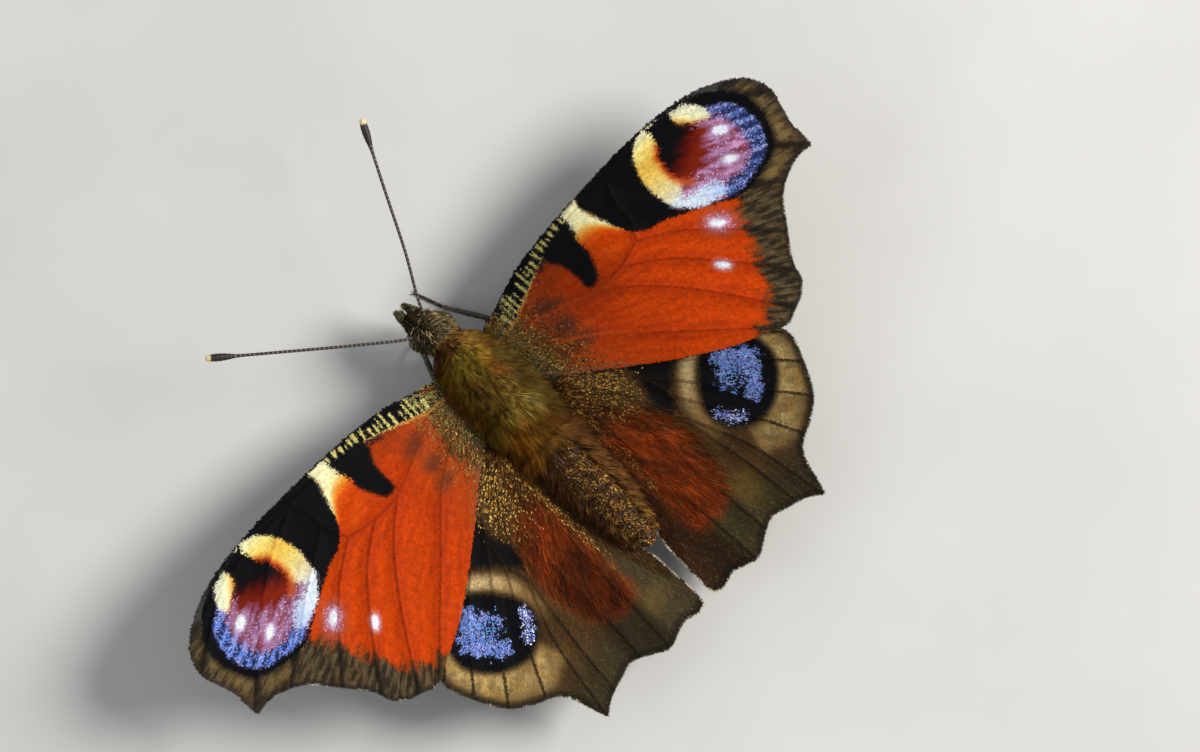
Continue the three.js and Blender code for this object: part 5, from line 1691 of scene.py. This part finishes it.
def wing_hair(side_name, wing, name, count, region, length, width, lean, seed):
    """Hairs on a wing within a plan outline, lying outwards and rearwards."""
    side = SIDES[side_name]
    draw = np.random.default_rng([seed, side + 1])
    low, high = region.min(axis=0), region.max(axis=0)
    at = draw.uniform(low, high, (count * 3, 2))
    inside = np.minimum(depth(region, at), depth(wing.coarse, at) - 0.3)
    at = at[inside > 0][:count]
    roots, normal, _ = wing.surface(side, at, 1)
    lie = wing.lie(side, at, 1, draw.normal(0, 0.14, len(at)) + lean)
    lie = unit(lie + normal * draw.uniform(0.02, 0.14, (len(at), 1)))
    marks = Markings(at, draw, side)
    tint = hindwing_hair_colours(marks) if wing.name == "hindwing" else forewing_hair_colours(marks)
    reach = draw.uniform(*length, len(at))
    thickness = draw.uniform(*width, len(at))
    piece = hairs(f"{wing.name}_{side_name}_{name}", roots, lie, normal, reach, thickness,
                  wing.bake_place(at), tint, 0.3)
    finish_piece(piece, f"{wing.name}_scales", HAIR_FINISH)


def gold_scales(side_name, wing):
    """Loose gold scales strewn over the hair of a wing's base, in streams along the wing."""
    side = SIDES[side_name]
    draw = np.random.default_rng([75, len(wing.name), side + 1])
    at = draw.uniform([2.2, -3.2], [11, 16.5], (9000, 2))
    x, y = at.T
    streams = smoothstep(0.25, 0.8, rays(at, wing.hinge, 0.5, 81))
    if wing.name == "hindwing":
        seam = np.exp(-((x - 3.4 + 0.03 * (y - 9)) / 0.3) ** 2)
        share = 0.85 if side == LEFT else 0.6
        share = share * smoothstep(1.2, 0.3, np.hypot((x - 5.9) / 3.2, (y - 5.9) / 4.2))
        share = share * (0.12 + 0.88 * streams) + seam * smoothstep(3.5, 5.5, y) * smoothstep(16, 13, y)
    else:
        reach = x - 0.2 * y + (0.9 if side == LEFT else 0.0)
        share = 0.6 * smoothstep(7.6, 3.2, reach) ** 1.3 * (0.05 + 0.95 * streams)
        share = share * smoothstep(-2.8, -1.6, y)
    at = at[(draw.random(len(at)) < share) & (depth(wing.coarse, at) > 0.35)]
    roots, normal, _ = wing.surface(side, at, 1)
    roots += normal * draw.uniform(0.03, 0.1, (len(at), 1)) * MM
    lie = wing.lie(side, at, 1, draw.normal(0, 0.3, len(at)))
    marks = Markings(at, draw)
    marks.paint(1, (190, 138, 50), (236, 202, 118), by=draw.random(len(at)) ** 1.6)
    if wing.name == "forewing":
        marks.paint(0.8 * smoothstep(4.6, 6.8, at[:, 0]), (164, 84, 34), (206, 130, 62),
                    by=draw.random(len(at)))
        marks.paint(0.7 * smoothstep(4.8, 3.4, at[:, 0]), (126, 126, 86))
    marks.strew(0.25, (136, 100, 46))
    # Painted shade: the right wings' gold scales darker.
    marks.colour *= 0.85 if side == RIGHT else 1.0
    length = draw.uniform(0.15, 0.25, len(at))
    piece = shingles(f"{wing.name}_{side_name}_gold_scales", roots, lie, normal, length, 0.085,
                     wing.bake_place(at), marks.tint(), 0.04)
    finish_piece(piece, f"{wing.name}_scales", UPPER_FINISH)


HIND_BASE = patch(
    (2.3, 3.5), (3.6, 3.2), (4.4, 5.5), (5.6, 8.2), (7.4, 10), (7.9, 12), (7.9, 15), (7, 17.6),
    (5.5, 18.5), (4, 18), (3.4, 14), (3.1, 9)
)
HIND_INNER = patch(
    (1.4, 5.5), (3.1, 6.0), (3.3, 10), (3.0, 13.5), (2.2, 16), (1.2, 19), (0.5, 20), (0.5, 18),
    (0.9, 15), (1.4, 12)
)
FORE_BASE = patch(
    (2.0, -3.1), (3.4, -3.0), (4.6, -1.6), (5.6, 0.4), (5.4, 3.0), (4, 3.4), (2.4, 1.8), (2.1, -0.5)
)
for side_name in SIDES:
    fringe(side_name, FOREWING)
    fringe(side_name, HINDWING)
    wing_hair(side_name, HINDWING, "base_hair", 4200, HIND_BASE, (0.8, 1.9), (0.025, 0.035), 0.12, 71)
    wing_hair(side_name, HINDWING, "inner_hair", 2800, HIND_INNER, (0.8, 1.7), (0.025, 0.04), 0.1, 72)
    wing_hair(side_name, FOREWING, "base_hair", 700, FORE_BASE, (0.5, 1.0), (0.03, 0.04), 0.1, 73)
    gold_scales(side_name, HINDWING)
    gold_scales(side_name, FOREWING)


# Floor, lights and camera. The photo looks square onto the wings, turned in its own plane.
PHOTO_RIGHT = Vector((-0.697, 0.717, 0))
PHOTO_UP = Vector((-0.717, -0.697, 0))
PHOTO_WIDTH = 92.3 * MM
AIM = Vector((-6.41 * MM, (5.51 - REAR_SHIFT) * MM, 7 * MM))
CAMERA_DISTANCE = 0.6
SENSOR = 36


def floor():
    size = 1.5
    corners = [(-size, -size, 0), (size, -size, 0), (size, size, 0), (-size, size, 0)]
    finish = Finish("floor", 0.9, 0, 0.1)
    cloud = finish.noise(40, 4.0)
    colour = finish.mix(finish.step(cloud, 0.3, 0.7), (205, 204, 201), (212, 211, 208))
    ground = make_mesh("floor", corners, np.array([[0, 1, 2, 3]]), shade=False)
    ground.data.materials.append(finish.done(colour))


def area_light(name, toward, distance, size, power, colour):
    light = bpy.data.lights.new(name, "AREA")
    light.shape = "DISK"
    light.size = size
    light.energy = power
    light.color = colour
    lamp = bpy.data.objects.new(name, light)
    lamp.location = AIM + toward.normalized() * distance
    lamp.rotation_euler = toward.to_track_quat("Z", "Y").to_euler()
    bpy.context.scene.collection.objects.link(lamp)


def studio():
    scene = bpy.context.scene
    scene.view_settings.view_transform = "Standard"
    world = bpy.data.worlds.new("studio")
    world.use_nodes = True
    sky = world.node_tree.nodes["Background"].inputs
    sky["Color"].default_value = (0.93, 0.96, 1.0, 1.0)
    sky["Strength"].default_value = 0.34
    scene.world = world
    area_light("key", PHOTO_RIGHT + PHOTO_UP * 0.35 + Vector((0, 0, 1.0)),
               distance=0.5, size=0.22, power=2.9, colour=(1.0, 0.97, 0.92))
    area_light("fill", PHOTO_RIGHT * -1 + Vector((0, 0, 0.9)),
               distance=0.6, size=0.4, power=0.5, colour=(0.92, 0.96, 1.0))


def photo_camera():
    lens = bpy.data.cameras.new("camera")
    lens.sensor_width = SENSOR
    lens.lens = SENSOR * CAMERA_DISTANCE / PHOTO_WIDTH
    lens.clip_start = 0.01
    camera = bpy.data.objects.new("camera", lens)
    back = PHOTO_RIGHT.cross(PHOTO_UP).normalized()
    turned = camera.matrix_world.to_3x3()
    for axis, direction in enumerate((PHOTO_RIGHT.normalized(), PHOTO_UP.normalized(), back)):
        turned.col[axis] = direction
    camera.matrix_world = turned.to_4x4()
    camera.location = AIM + back * CAMERA_DISTANCE
    bpy.context.scene.collection.objects.link(camera)
    bpy.context.scene.camera = camera


floor()
studio()
photo_camera()
